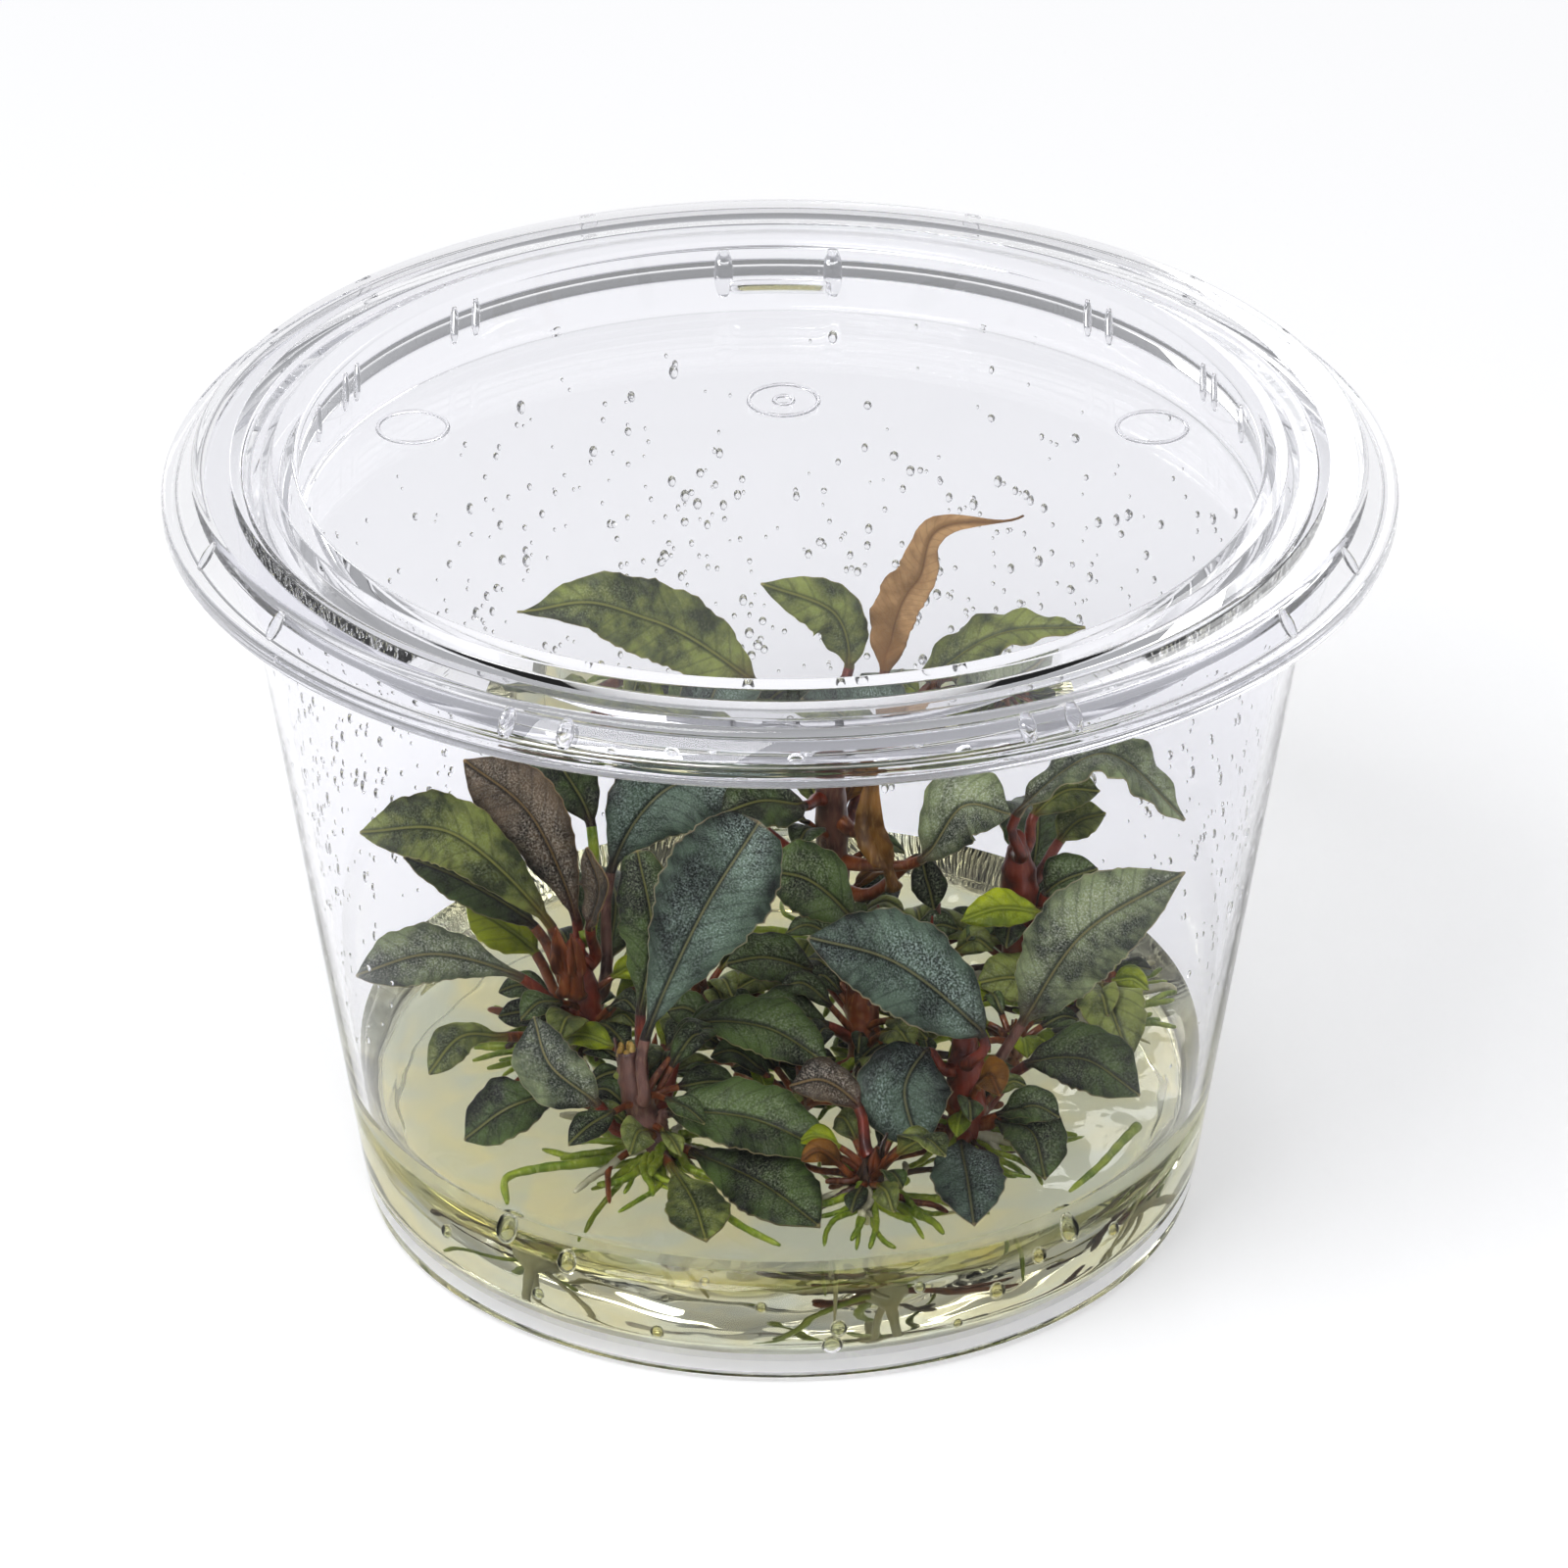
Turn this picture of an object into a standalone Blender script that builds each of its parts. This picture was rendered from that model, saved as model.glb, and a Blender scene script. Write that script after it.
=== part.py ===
"""Bucephalandra plantlets on clear gel in a tissue culture cup with a press-on lid.

The cup stands on its foot ring at z = 0, its axis is +Z, and the front of the plants is -Y.
Sizes are in millimetres, made metres where a mesh is built.
"""

import math

import bmesh
import bpy
from mathutils import Matrix, Vector

MM = 0.001
ROUND_SEGMENTS = 48

# Cup: outer radius at the foot and how fast it widens, wall, floor, foot ring (inner and outer
# radius), and the flange round the mouth.
FOOT_RADIUS = 34.8
WALL_TAPER = 0.1477
WALL_THICKNESS = 0.9
FLOOR_HEIGHT = 1.6
FLOOR_CORNER = 1.3
FOOT_RECESS = 0.7
FOOT_RING = (32.6, 34.0)
CUP_HEIGHT = 65.6
FLANGE_RADIUS = 46.5
FLANGE_THICKNESS = 0.9

# Lid: panel sunk inside the rim, plug that seals in the mouth, grooved ring over the flange,
# skirt, and lip (lower and upper height).
LID_HEIGHT = 67.2
LID_RADIUS = 50.0
LID_THICKNESS = 0.8
LID_EDGE = 0.3
PANEL_HEIGHT = 60.8
PLUG_RADIUS = 40.0
SEAL_BOTTOM = 64.2
GROOVE = (41.0, 44.4)
GROOVE_DEPTH = 0.5
RIDGE_RADIUS = 47.4
SKIRT_RADIUS = 48.9
LIP = (63.4, 64.8)

# Gel: poured to this height, and a little higher where it clings to the wall.
GEL_HEIGHT = 11.7
MENISCUS = 0.6
MENISCUS_WIDTH = 1.5
GAP = 0.3

# Leaves: thickness at the midrib, petiole radius, how far the margins stand over the midrib as a
# share of the half width, and the power that rounds a blade's outline out.
MIDRIB_THICKNESS = 0.6
PETIOLE_RADIUS = 0.5
KEEL = 0.16
FULLNESS = 0.72
PETIOLE_STEPS = (0.0, 0.55)
BLADE_STEPS = (0.0, 0.11, 0.24, 0.38, 0.52, 0.66, 0.8, 0.92, 1.0)

# Stem of each crown: root end in the gel first, then upwards; each point is x, y, z and radius.
CROWNS = {
    "crown_front_left": ((-9.5, -18.5, 6.0, 0.9), (-9.8, -19.0, 12.0, 1.5), (-11.6, -18.6, 17.0, 1.3),
                         (-12.5, -18.2, 21.5, 0.9)),
    "crown_left": ((-15.0, -2.5, 6.0, 0.9), (-16.0, -1.5, 12.5, 1.7), (-16.4, -0.5, 16.5, 1.4),
                   (-16.8, 1.5, 20.0, 0.5)),
    "crown_centre": ((7.0, -5.0, 6.0, 0.9), (7.0, -5.5, 12.5, 1.5), (6.8, -3.5, 17.0, 1.4),
                     (6.4, -2.0, 21.5, 0.6)),
    "crown_front": ((7.0, -24.5, 6.5, 0.8), (7.2, -24.8, 12.0, 1.4), (7.4, -24.0, 14.5, 0.9)),
    "crown_right": ((15.2, -16.0, 6.0, 1.0), (15.2, -16.8, 12.0, 1.6), (15.3, -15.8, 17.0, 1.7),
                    (15.0, -14.5, 22.5, 0.9)),
    "crown_right_back": ((20.0, 9.5, 6.0, 0.9), (20.2, 9.0, 13.0, 1.4), (20.1, 8.5, 22.0, 1.6),
                         (20.0, 8.5, 26.5, 0.7)),
    "crown_back": ((4.0, 14.0, 6.0, 1.0), (4.5, 13.5, 13.0, 1.8), (5.0, 12.0, 23.0, 1.9),
                   (4.6, 11.5, 33.0, 1.5), (4.4, 12.0, 38.0, 0.8)),
    "crown_right_wall": ((26.0, 4.0, 6.5, 0.8), (26.0, 4.0, 12.5, 1.3), (25.6, 3.4, 15.5, 0.9)),
}

# Each leaf: petiole foot, blade neck, blade middle and tip, then blade width, the bearing and
# rise of its upper side in degrees (bearing 0 is the front, 90 is +X; rise 90 is straight up),
# and where along the blade it is widest.
LEAVES = {
    "leaf_front_tall": ((-11.0, -20.3, 18.4), (-11.0, -18.7, 22.8), (-6.5, -16.2, 33.0),
                        (-1.7, -12.0, 39.5), 8.6, 5, 30, 0.62),
    "leaf_front_behind": ((-11.3, -16.0, 18.5), (-11.4, -14.6, 22.8), (-10.4, -12.8, 29.5),
                          (-11.6, -9.2, 35.2), 5.5, -25, 25, 0.6),
    "leaf_front_folded": ((-13.4, -19.8, 15.0), (-14.8, -20.2, 17.6), (-18.6, -19.8, 21.0),
                          (-20.0, -17.0, 24.0), 5.4, -30, 35, 0.5),
    "leaf_front_low_left": ((-12.0, -17.5, 14.0), (-17.5, -16.5, 16.0), (-21.8, -18.0, 16.0),
                            (-25.7, -18.8, 13.3), 5.8, -15, 60, 0.6),
    "leaf_front_right": ((-9.6, -19.6, 15.2), (-9.0, -20.0, 16.7), (-2.3, -21.5, 17.0),
                         (4.5, -24.5, 15.3), 6.6, 0, 60, 0.5),
    "leaf_front_under": ((-8.0, -20.0, 12.9), (-7.2, -20.8, 13.4), (-1.6, -25.4, 13.3),
                         (3.2, -31.0, 12.6), 6.8, 0, 65, 0.6),
    "leaf_front_small": ((-9.5, -21.3, 13.2), (-8.9, -22.8, 13.3), (-7.0, -28.4, 13.4),
                         (-5.9, -33.3, 12.7), 5.2, 0, 80, 0.66),
    "leaf_front_middle": ((-9.4, -16.4, 15.6), (-7.4, -12.6, 20.2), (-1.3, -13.0, 20.6),
                          (4.0, -15.5, 18.5), 5.6, -5, 60, 0.55),
    "leaf_left_arch": ((-18.2, 0.0, 17.5), (-19.1, 0.5, 22.4), (-27.0, 1.0, 30.8),
                       (-35.0, 1.0, 31.0), 6.2, -10, 45, 0.58),
    "leaf_left_dark": ((-18.3, 1.5, 17.0), (-20.6, 3.5, 20.6), (-26.2, 3.5, 24.8),
                       (-31.5, 3.5, 27.3), 4.6, -10, 60, 0.5),
    "leaf_left_low": ((-18.0, -2.3, 15.4), (-21.5, -3.0, 19.4), (-28.7, -4.0, 22.2),
                      (-35.2, -6.0, 21.3), 5.4, -5, 50, 0.62),
    "leaf_left_tall": ((-17.6, 2.4, 19.0), (-17.0, 2.6, 21.8), (-20.6, 3.4, 31.2),
                       (-26.3, 5.0, 35.8), 6.4, -15, 30, 0.6),
    "leaf_left_big": ((-14.6, 1.5, 16.5), (-14.2, 5.0, 25.0), (-9.8, 7.5, 31.4),
                      (-2.2, 9.0, 33.0), 9.0, 5, 40, 0.6),
    "leaf_left_narrow": ((-15.4, 0.9, 19.4), (-15.8, -0.8, 23.0), (-14.9, -1.2, 27.0),
                         (-16.0, 0.5, 30.0), 4.0, -60, 20, 0.5),
    "leaf_left_green": ((-18.3, 0.5, 14.5), (-20.5, 5.0, 17.0), (-23.5, 6.5, 19.0),
                        (-26.5, 8.0, 20.0), 5.0, -10, 60, 0.5),
    "leaf_left_olive": ((-18.3, -3.5, 14.0), (-22.8, -7.0, 16.1), (-26.4, -8.5, 16.9),
                        (-29.0, -10.2, 14.4), 3.4, 0, 55, 0.64),
    "leaf_left_high": ((-15.8, 3.4, 21.0), (-15.8, 7.5, 28.0), (-18.6, 10.5, 32.5),
                       (-22.0, 13.5, 36.6), 5.5, -10, 40, 0.5),
    "leaf_right_big": ((15.4, -17.6, 20.0), (16.5, -17.4, 22.4), (9.6, -17.6, 29.2),
                       (2.2, -17.0, 31.4), 8.4, -5, 50, 0.5),
    "leaf_right_tall": ((17.2, -15.2, 17.5), (19.8, -15.0, 22.2), (24.5, -17.0, 31.8),
                        (32.3, -20.0, 39.3), 8.6, -5, 35, 0.62),
    "leaf_right_low": ((17.4, -13.6, 14.0), (20.3, -13.0, 17.0), (25.0, -14.0, 18.1),
                       (29.4, -16.0, 15.9), 6.4, 5, 60, 0.55),
    "leaf_right_curl": ((17.1, -17.4, 14.0), (17.8, -17.8, 14.5), (20.5, -20.0, 14.8),
                        (21.5, -24.0, 12.8), 5.5, 30, 60, 0.55),
    "leaf_right_drop": ((15.1, -19.0, 13.6), (14.8, -20.5, 14.0), (15.2, -26.5, 14.2),
                        (15.6, -31.0, 12.8), 6.0, 0, 80, 0.5),
    "leaf_right_hang": ((13.2, -16.8, 19.0), (12.0, -17.3, 20.8), (10.2, -20.0, 18.8),
                        (11.4, -23.0, 14.9), 8.0, -10, 40, 0.5),
    "leaf_front_back": ((6.9, -23.4, 15.6), (6.4, -21.5, 18.0), (3.6, -20.0, 19.6),
                        (0.8, -19.5, 18.8), 4.0, 0, 60, 0.5),
    "leaf_centre_left": ((6.0, -3.6, 21.0), (6.0, -3.5, 25.0), (2.5, -4.5, 29.5),
                         (-1.5, -4.5, 30.5), 6.5, 0, 50, 0.55),
    "leaf_centre_dark": ((5.2, -5.2, 15.4), (3.8, -6.0, 16.6), (0.5, -7.5, 18.4),
                         (-3.0, -9.0, 17.6), 5.5, 0, 60, 0.5),
    "leaf_centre_far": ((5.2, -2.4, 17.0), (3.0, -1.0, 18.6), (-1.0, -1.5, 20.4),
                        (-4.5, -2.5, 20.4), 5.0, 0, 60, 0.5),
    "leaf_back_wide": ((2.6, 11.0, 34.0), (-2.0, 9.5, 39.8), (-10.7, 8.5, 46.4),
                       (-21.7, 6.5, 48.3), 6.3, -15, 40, 0.5),
    "leaf_back_wavy": ((4.2, 14.0, 36.0), (5.8, 15.0, 38.4), (4.5, 15.5, 43.4),
                       (-1.6, 15.5, 46.2), 4.8, -20, 30, 0.5),
    "leaf_back_dry": ((7.0, 10.0, 27.0), (8.8, 13.5, 39.0), (11.4, 15.5, 46.4),
                      (20.2, 14.0, 53.4), 4.4, -30, 20, 0.36),
    "leaf_back_upright": ((7.6, 9.8, 23.0), (11.8, 5.0, 26.2), (15.2, 4.5, 31.6),
                          (19.2, 4.2, 31.0), 6.8, 0, 55, 0.54),
    "leaf_back_dark": ((3.0, 10.4, 29.0), (2.0, 7.5, 30.0), (-1.5, 5.5, 31.5),
                       (-5.0, 4.0, 31.0), 6.0, 0, 60, 0.5),
    "leaf_back_right": ((6.6, 12.6, 31.0), (11.4, 15.4, 35.8), (18.0, 16.5, 40.6),
                        (25.6, 15.5, 42.0), 4.7, 10, 70, 0.42),
    "leaf_back_slip": ((7.8, 10.2, 20.0), (11.4, 8.0, 24.6), (12.4, 7.4, 22.8),
                       (13.0, 6.8, 20.4), 3.0, 0, 40, 0.55),
    "leaf_right_arch": ((20.2, 6.4, 26.0), (19.8, 6.6, 29.6), (27.0, 7.0, 35.2),
                        (34.0, 7.0, 28.8), 5.8, 0, 75, 0.58),
    "leaf_right_behind": ((21.0, 9.6, 25.5), (21.4, 10.5, 27.4), (24.0, 12.2, 28.8),
                          (27.0, 13.2, 28.2), 3.8, 10, 50, 0.5),
    "leaf_right_dark": ((22.0, 8.2, 19.6), (22.4, 8.0, 21.2), (24.0, 7.6, 22.8),
                        (26.8, 8.0, 23.6), 4.6, 0, 50, 0.55),
    "leaf_right_lime": ((22.1, 7.6, 18.0), (21.6, 4.2, 21.4), (18.4, 3.0, 22.6),
                        (15.1, 2.0, 22.0), 4.6, 10, 50, 0.5),
    "leaf_right_small": ((22.0, 10.2, 22.0), (23.6, 12.0, 24.0), (25.2, 13.0, 25.4),
                         (27.6, 14.0, 25.6), 3.5, 0, 50, 0.5),
    "leaf_wall_olive": ((26.9, 2.6, 15.4), (27.0, 1.5, 16.0), (27.6, -2.0, 16.2),
                        (29.1, -6.5, 13.5), 6.0, 20, 60, 0.5),
    "leaf_wall_green": ((24.6, 2.4, 14.6), (22.8, 1.6, 15.6), (19.6, 1.0, 17.0),
                        (16.4, 0.0, 17.0), 5.0, 0, 60, 0.5),
    "leaf_rear_left": ((2.6, 14.6, 20.0), (-2.0, 17.0, 23.0), (-8.0, 19.5, 26.5),
                       (-15.0, 21.0, 26.0), 7.5, 170, 60, 0.5),
    "leaf_rear_middle": ((5.6, 14.4, 24.0), (7.5, 19.0, 28.0), (9.5, 24.0, 31.0),
                         (10.5, 30.0, 30.0), 7.0, 180, 55, 0.5),
    "leaf_rear_right": ((20.6, 11.0, 16.0), (21.5, 15.0, 19.0), (22.0, 20.0, 21.5),
                        (21.0, 26.0, 20.5), 6.5, 180, 60, 0.5),
    "leaf_rear_low": ((-15.4, 0.9, 14.0), (-14.5, 6.0, 16.0), (-14.0, 12.0, 18.5),
                      (-15.5, 19.0, 17.5), 7.0, 180, 65, 0.5),
}

# Green roots that creep over the gel: points along each, and its radius.
ROOTS = {
    "root_left": (((-12.8, -20.6, 12.8), (-16.0, -21.4, 12.7), (-19.5, -22.3, 12.8),
                   (-22.2, -23.5, 12.6), (-22.0, -27.0, 12.4)), 0.45),
    "root_front": (((-8.0, -24.0, 12.6), (-5.3, -27.7, 12.5), (-3.0, -30.8, 12.5),
                    (0.0, -33.6, 12.5)), 0.4),
    "root_right": (((29.3, -15.6, 12.8), (27.8, -18.0, 12.6), (26.0, -21.6, 12.7),
                    (23.4, -25.6, 12.7)), 0.4),
}


def hex_colour(code):
    """An sRGB hex code as a linear colour with alpha."""
    channels = [int(code[i:i + 2], 16) / 255 for i in (0, 2, 4)]
    return [c / 12.92 if c <= 0.04045 else ((c + 0.055) / 1.055) ** 2.4 for c in channels] + [1.0]


def material(name, code, roughness, transmission=0.0, ior=1.5):
    """One Principled finish, clear where transmission is given."""
    made = bpy.data.materials.new(name)
    made.use_nodes = True
    shader = made.node_tree.nodes["Principled BSDF"]
    shader.inputs["Base Color"].default_value = hex_colour(code)
    shader.inputs["Roughness"].default_value = roughness
    shader.inputs["Metallic"].default_value = 0.0
    shader.inputs["Transmission Weight"].default_value = transmission
    shader.inputs["IOR"].default_value = ior
    return made


def add_object(name, mesh_data, finish):
    """A scene object for a bmesh, shaded smooth but for its corners."""
    bmesh.ops.recalc_face_normals(mesh_data, faces=mesh_data.faces)
    mesh = bpy.data.meshes.new(name)
    mesh_data.to_mesh(mesh)
    mesh_data.free()
    mesh.materials.append(finish)
    mesh.shade_smooth()
    mesh.set_sharp_from_angle(angle=math.radians(35))
    made = bpy.data.objects.new(name, mesh)
    bpy.context.scene.collection.objects.link(made)
    return made


def wall_radius(height):
    """Outer radius of the cup's wall at a height."""
    return FOOT_RADIUS + WALL_TAPER * height


def inner_radius(height):
    """Inner radius of the cup's wall at a height."""
    return wall_radius(height) - WALL_THICKNESS


def turned(name, profile, finish):
    """A closed solid turned about Z from (radius, height) points that start and end on the axis."""
    shape = bmesh.new()
    points = [shape.verts.new((radius * MM, 0.0, height * MM)) for radius, height in profile]
    edges = [shape.edges.new(pair) for pair in zip(points, points[1:])]
    bmesh.ops.spin(shape, geom=points + edges, cent=(0, 0, 0), axis=(0, 0, 1), angle=math.tau,
                   steps=ROUND_SEGMENTS, use_merge=True)
    bmesh.ops.remove_doubles(shape, verts=shape.verts, dist=0.00001)
    return add_object(name, shape, finish)


def cup_profile():
    """Foot ring, wall, flange, then back down the inside to the floor."""
    shoulder = CUP_HEIGHT - FLANGE_THICKNESS
    return (
        (0.0, FOOT_RECESS),
        (FOOT_RING[0] - 0.4, FOOT_RECESS),
        (FOOT_RING[0], 0.0),
        (FOOT_RING[1], 0.0),
        (FOOT_RING[1] + 0.7, 0.5),
        (wall_radius(FLOOR_HEIGHT), FLOOR_HEIGHT),
        (wall_radius(shoulder), shoulder),
        (FLANGE_RADIUS, shoulder),
        (FLANGE_RADIUS, CUP_HEIGHT),
        (inner_radius(CUP_HEIGHT), CUP_HEIGHT),
        (inner_radius(FLOOR_HEIGHT + FLOOR_CORNER), FLOOR_HEIGHT + FLOOR_CORNER),
        (inner_radius(FLOOR_HEIGHT) - FLOOR_CORNER, FLOOR_HEIGHT),
        (0.0, FLOOR_HEIGHT),
    )


def lid_profile():
    """Panel, recess wall, grooved top ring, skirt and lip, then back along the underside."""
    recess = PLUG_RADIUS - LID_THICKNESS
    panel_under = PANEL_HEIGHT - LID_THICKNESS
    top_under = CUP_HEIGHT + GAP
    seal = inner_radius(CUP_HEIGHT) - GAP
    groove = LID_HEIGHT - GROOVE_DEPTH
    return (
        (0.0, PANEL_HEIGHT),
        (recess - LID_EDGE, PANEL_HEIGHT),
        (recess, PANEL_HEIGHT + LID_EDGE),
        (recess - LID_EDGE, LID_HEIGHT - LID_EDGE),
        (recess + LID_EDGE, LID_HEIGHT),
        (GROOVE[0], LID_HEIGHT),
        (GROOVE[0] + 2 * GROOVE_DEPTH, groove),
        (GROOVE[1] - 2 * GROOVE_DEPTH, groove),
        (GROOVE[1], LID_HEIGHT),
        (RIDGE_RADIUS - LID_EDGE, LID_HEIGHT),
        (RIDGE_RADIUS, LID_HEIGHT - LID_EDGE),
        (SKIRT_RADIUS, LIP[1]),
        (LID_RADIUS - LID_EDGE, LIP[1]),
        (LID_RADIUS, LIP[1] - LID_EDGE),
        (LID_RADIUS, LIP[0]),
        (SKIRT_RADIUS - LID_THICKNESS, LIP[0]),
        (SKIRT_RADIUS - LID_THICKNESS, LIP[0] + LID_THICKNESS),
        (RIDGE_RADIUS - LID_THICKNESS, top_under),
        (seal, top_under),
        (seal - LID_EDGE, SEAL_BOTTOM),
        (PLUG_RADIUS + LID_EDGE, SEAL_BOTTOM - LID_THICKNESS),
        (PLUG_RADIUS, panel_under + LID_EDGE),
        (PLUG_RADIUS - LID_EDGE, panel_under),
        (0.0, panel_under),
    )


def gel_profile():
    """A disc of gel a gap inside the cup, with its rim drawn up the wall."""
    floor = FLOOR_HEIGHT + GAP
    corner = floor + FLOOR_CORNER
    rim = GEL_HEIGHT + MENISCUS
    return (
        (0.0, floor),
        (inner_radius(floor) - FLOOR_CORNER - GAP, floor),
        (inner_radius(corner) - GAP, corner),
        (inner_radius(rim) - GAP, rim),
        (inner_radius(rim) - MENISCUS_WIDTH, GEL_HEIGHT),
        (0.0, GEL_HEIGHT),
    )


def loft(name, rings, finish):
    """A closed solid skinned over rings of equal count, with a flat end at each."""
    shape = bmesh.new()
    rows = [[shape.verts.new(point * MM) for point in ring] for ring in rings]
    count = len(rows[0])
    for lower, upper in zip(rows, rows[1:]):
        for i in range(count):
            j = (i + 1) % count
            shape.faces.new((lower[i], lower[j], upper[j], upper[i]))
    shape.faces.new(rows[0][::-1])
    shape.faces.new(rows[-1])
    return add_object(name, shape, finish)


def tube(name, stations, finish, sides=7):
    """A round stem through (point, radius) stations, its rings square to the path."""
    rings = []
    across = Vector((1.0, 0.0, 0.0))
    for index, (point, radius) in enumerate(stations):
        before = stations[max(index - 1, 0)][0]
        after = stations[min(index + 1, len(stations) - 1)][0]
        along = (after - before).normalized()
        across = (across - along * across.dot(along)).normalized()
        other = along.cross(across)
        rings.append([
            point + across * (radius * math.cos(turn)) + other * (radius * math.sin(turn))
            for turn in (math.tau * side / sides for side in range(sides))
        ])
    return loft(name, rings, finish)


def along_spine(points, position):
    """A point on the smooth curve through the points, at position 0 to len(points) - 1."""
    index = min(int(position), len(points) - 2)
    share = position - index
    first, last = points[index], points[index + 1]
    before = points[index - 1] if index else first * 2 - last
    after = points[index + 2] if index + 2 < len(points) else last * 2 - first
    return 0.5 * (
        first * 2
        + (last - before) * share
        + (before * 2 - first * 5 + last * 4 - after) * share ** 2
        + (first * 3 - before - last * 3 + after) * share ** 3
    )


def blade_share(share, widest):
    """Half width of a blade, as a share of the most, at a share of its length from the neck."""
    return max(math.sin(math.pi * share ** (math.log(0.5) / math.log(widest))), 0.0) ** FULLNESS


def facing(bearing, rise):
    """Unit vector from a bearing off the front and a rise over the horizontal, in degrees."""
    turn, lift = math.radians(bearing), math.radians(rise)
    return Vector((math.sin(turn) * math.cos(lift), -math.cos(turn) * math.cos(lift), math.sin(lift)))


def leaf_stations():
    """(spine position, share of the blade's length or None) from the petiole's foot to the tip."""
    petiole = [(step, None) for step in PETIOLE_STEPS]
    return petiole + [(1.0 + 2.0 * step, step) for step in BLADE_STEPS]


def leaf(name, foot, neck, middle, tip, width, bearing, rise, widest, finish):
    """Petiole and blade as one solid: four-cornered rings along the spine, keeled at the midrib."""
    spine = [Vector(point) for point in (foot, neck, middle, tip)]
    stations = leaf_stations()
    points = [along_spine(spine, position) for position, _ in stations]
    aligned = facing(bearing, rise)
    rings = []
    for index, (point, (_, share)) in enumerate(zip(points, stations)):
        ahead = points[min(index + 1, len(points) - 1)]
        along = (ahead - points[max(index - 1, 0)]).normalized()
        up = (aligned - along * aligned.dot(along)).normalized()
        side = along.cross(up)
        half = PETIOLE_RADIUS
        thickness = MIDRIB_THICKNESS
        if share is None:
            thickness = 2 * PETIOLE_RADIUS
        else:
            half = max(width / 2 * blade_share(share, widest), PETIOLE_RADIUS * (1 - 0.7 * share))
            thickness *= 1 - 0.5 * share
        lift = up * (half * KEEL if share else 0.0)
        rings.append([
            point + side * half + lift,
            point + up * (thickness / 2),
            point - side * half + lift,
            point - up * (thickness / 2),
        ])
    return loft(name, rings, finish)


def cut_pocket(gel, stem_stations):
    """A pocket in the gel that clears a root plug, open at the top."""
    clearance = GAP + 0.1
    (bottom, low), (top, high) = stem_stations[:2]
    reach = (top - bottom).normalized()
    path = ((bottom - reach * clearance, low + clearance), (top + reach * 2, high + clearance))
    cutter = tube("pocket_cutter", path, gel.active_material, sides=8)
    cutter.hide_render = True
    cutter.display_type = "WIRE"
    cut = gel.modifiers.new("pocket", "BOOLEAN")
    cut.operation = "DIFFERENCE"
    cut.object = cutter


def main():
    """Clears the scene and builds the cup, lid, gel and plants."""
    for old in list(bpy.data.objects):
        bpy.data.objects.remove(old, do_unlink=True)
    clear_plastic = material("clear_polystyrene", "F4F5F8", 0.03, 1.0, 1.58)
    gel_finish = material("agar_gel", "EEF0D2", 0.1, 0.9, 1.34)
    leaf_finish = material("leaf_dark_green", "2E3B2C", 0.4)
    dry_finish = material("leaf_dry_tan", "B08A5E", 0.7)
    stem_finish = material("stem_crimson", "6E2A22", 0.4)
    root_finish = material("root_green", "9DB13A", 0.45)

    turned("cup", cup_profile(), clear_plastic)
    turned("lid", lid_profile(), clear_plastic)
    gel = turned("gel", gel_profile(), gel_finish)
    for name, points in CROWNS.items():
        stations = [(Vector(point[:3]), point[3]) for point in points]
        tube(name, stations, stem_finish)
        cut_pocket(gel, stations)
    for name, sizes in LEAVES.items():
        leaf(name, *sizes, dry_finish if name == "leaf_back_dry" else leaf_finish)
    for name, (points, radius) in ROOTS.items():
        tube(name, [(Vector(point), radius) for point in points], root_finish, sides=6)


main()
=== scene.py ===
"""Bucephalandra plantlets on clear gel in a lidded tissue culture cup, dressed over its frame.

Tables are in millimetres, made metres where a mesh is built. The cup stands on z = 0, its axis is
+Z, and the side that faced the camera is -Y.
"""

from __future__ import annotations

import logging
import random
from collections.abc import Callable, Sequence
from dataclasses import dataclass, field
from enum import Enum
from functools import partial
from math import atan, atan2, copysign, cos, degrees, exp, fmod, hypot, log, pi, radians, sin, sqrt, tan, tau

import bmesh
import bpy
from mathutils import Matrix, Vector, noise

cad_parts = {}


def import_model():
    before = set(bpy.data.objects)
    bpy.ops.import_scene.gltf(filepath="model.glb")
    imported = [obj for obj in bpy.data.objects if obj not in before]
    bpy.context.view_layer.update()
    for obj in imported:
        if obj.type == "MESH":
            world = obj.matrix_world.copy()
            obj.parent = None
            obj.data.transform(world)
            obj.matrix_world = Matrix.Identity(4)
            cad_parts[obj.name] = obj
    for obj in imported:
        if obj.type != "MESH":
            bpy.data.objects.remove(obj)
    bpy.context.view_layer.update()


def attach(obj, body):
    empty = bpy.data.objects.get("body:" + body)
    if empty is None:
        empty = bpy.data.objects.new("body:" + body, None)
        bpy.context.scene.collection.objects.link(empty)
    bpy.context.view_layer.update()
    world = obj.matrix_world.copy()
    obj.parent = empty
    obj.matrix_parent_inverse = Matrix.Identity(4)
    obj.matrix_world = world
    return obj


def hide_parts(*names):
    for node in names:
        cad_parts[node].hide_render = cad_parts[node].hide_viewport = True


LOG = logging.getLogger("culture_cup")
MM = 0.001
UP = Vector((0.0, 0.0, 1.0))
# Height of the gel's skin, which stems, roots and young leaves keep to.
GEL_TOP = 11.7
Profile = list[tuple[float, float, float]]
Rings = list[list[Vector]]
Rows = list[list[bmesh.types.BMVert]]
Mesh = bmesh.types.BMesh
Piece = bpy.types.Object
Node = bpy.types.Node


# ---- Shared helpers ----


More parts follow.
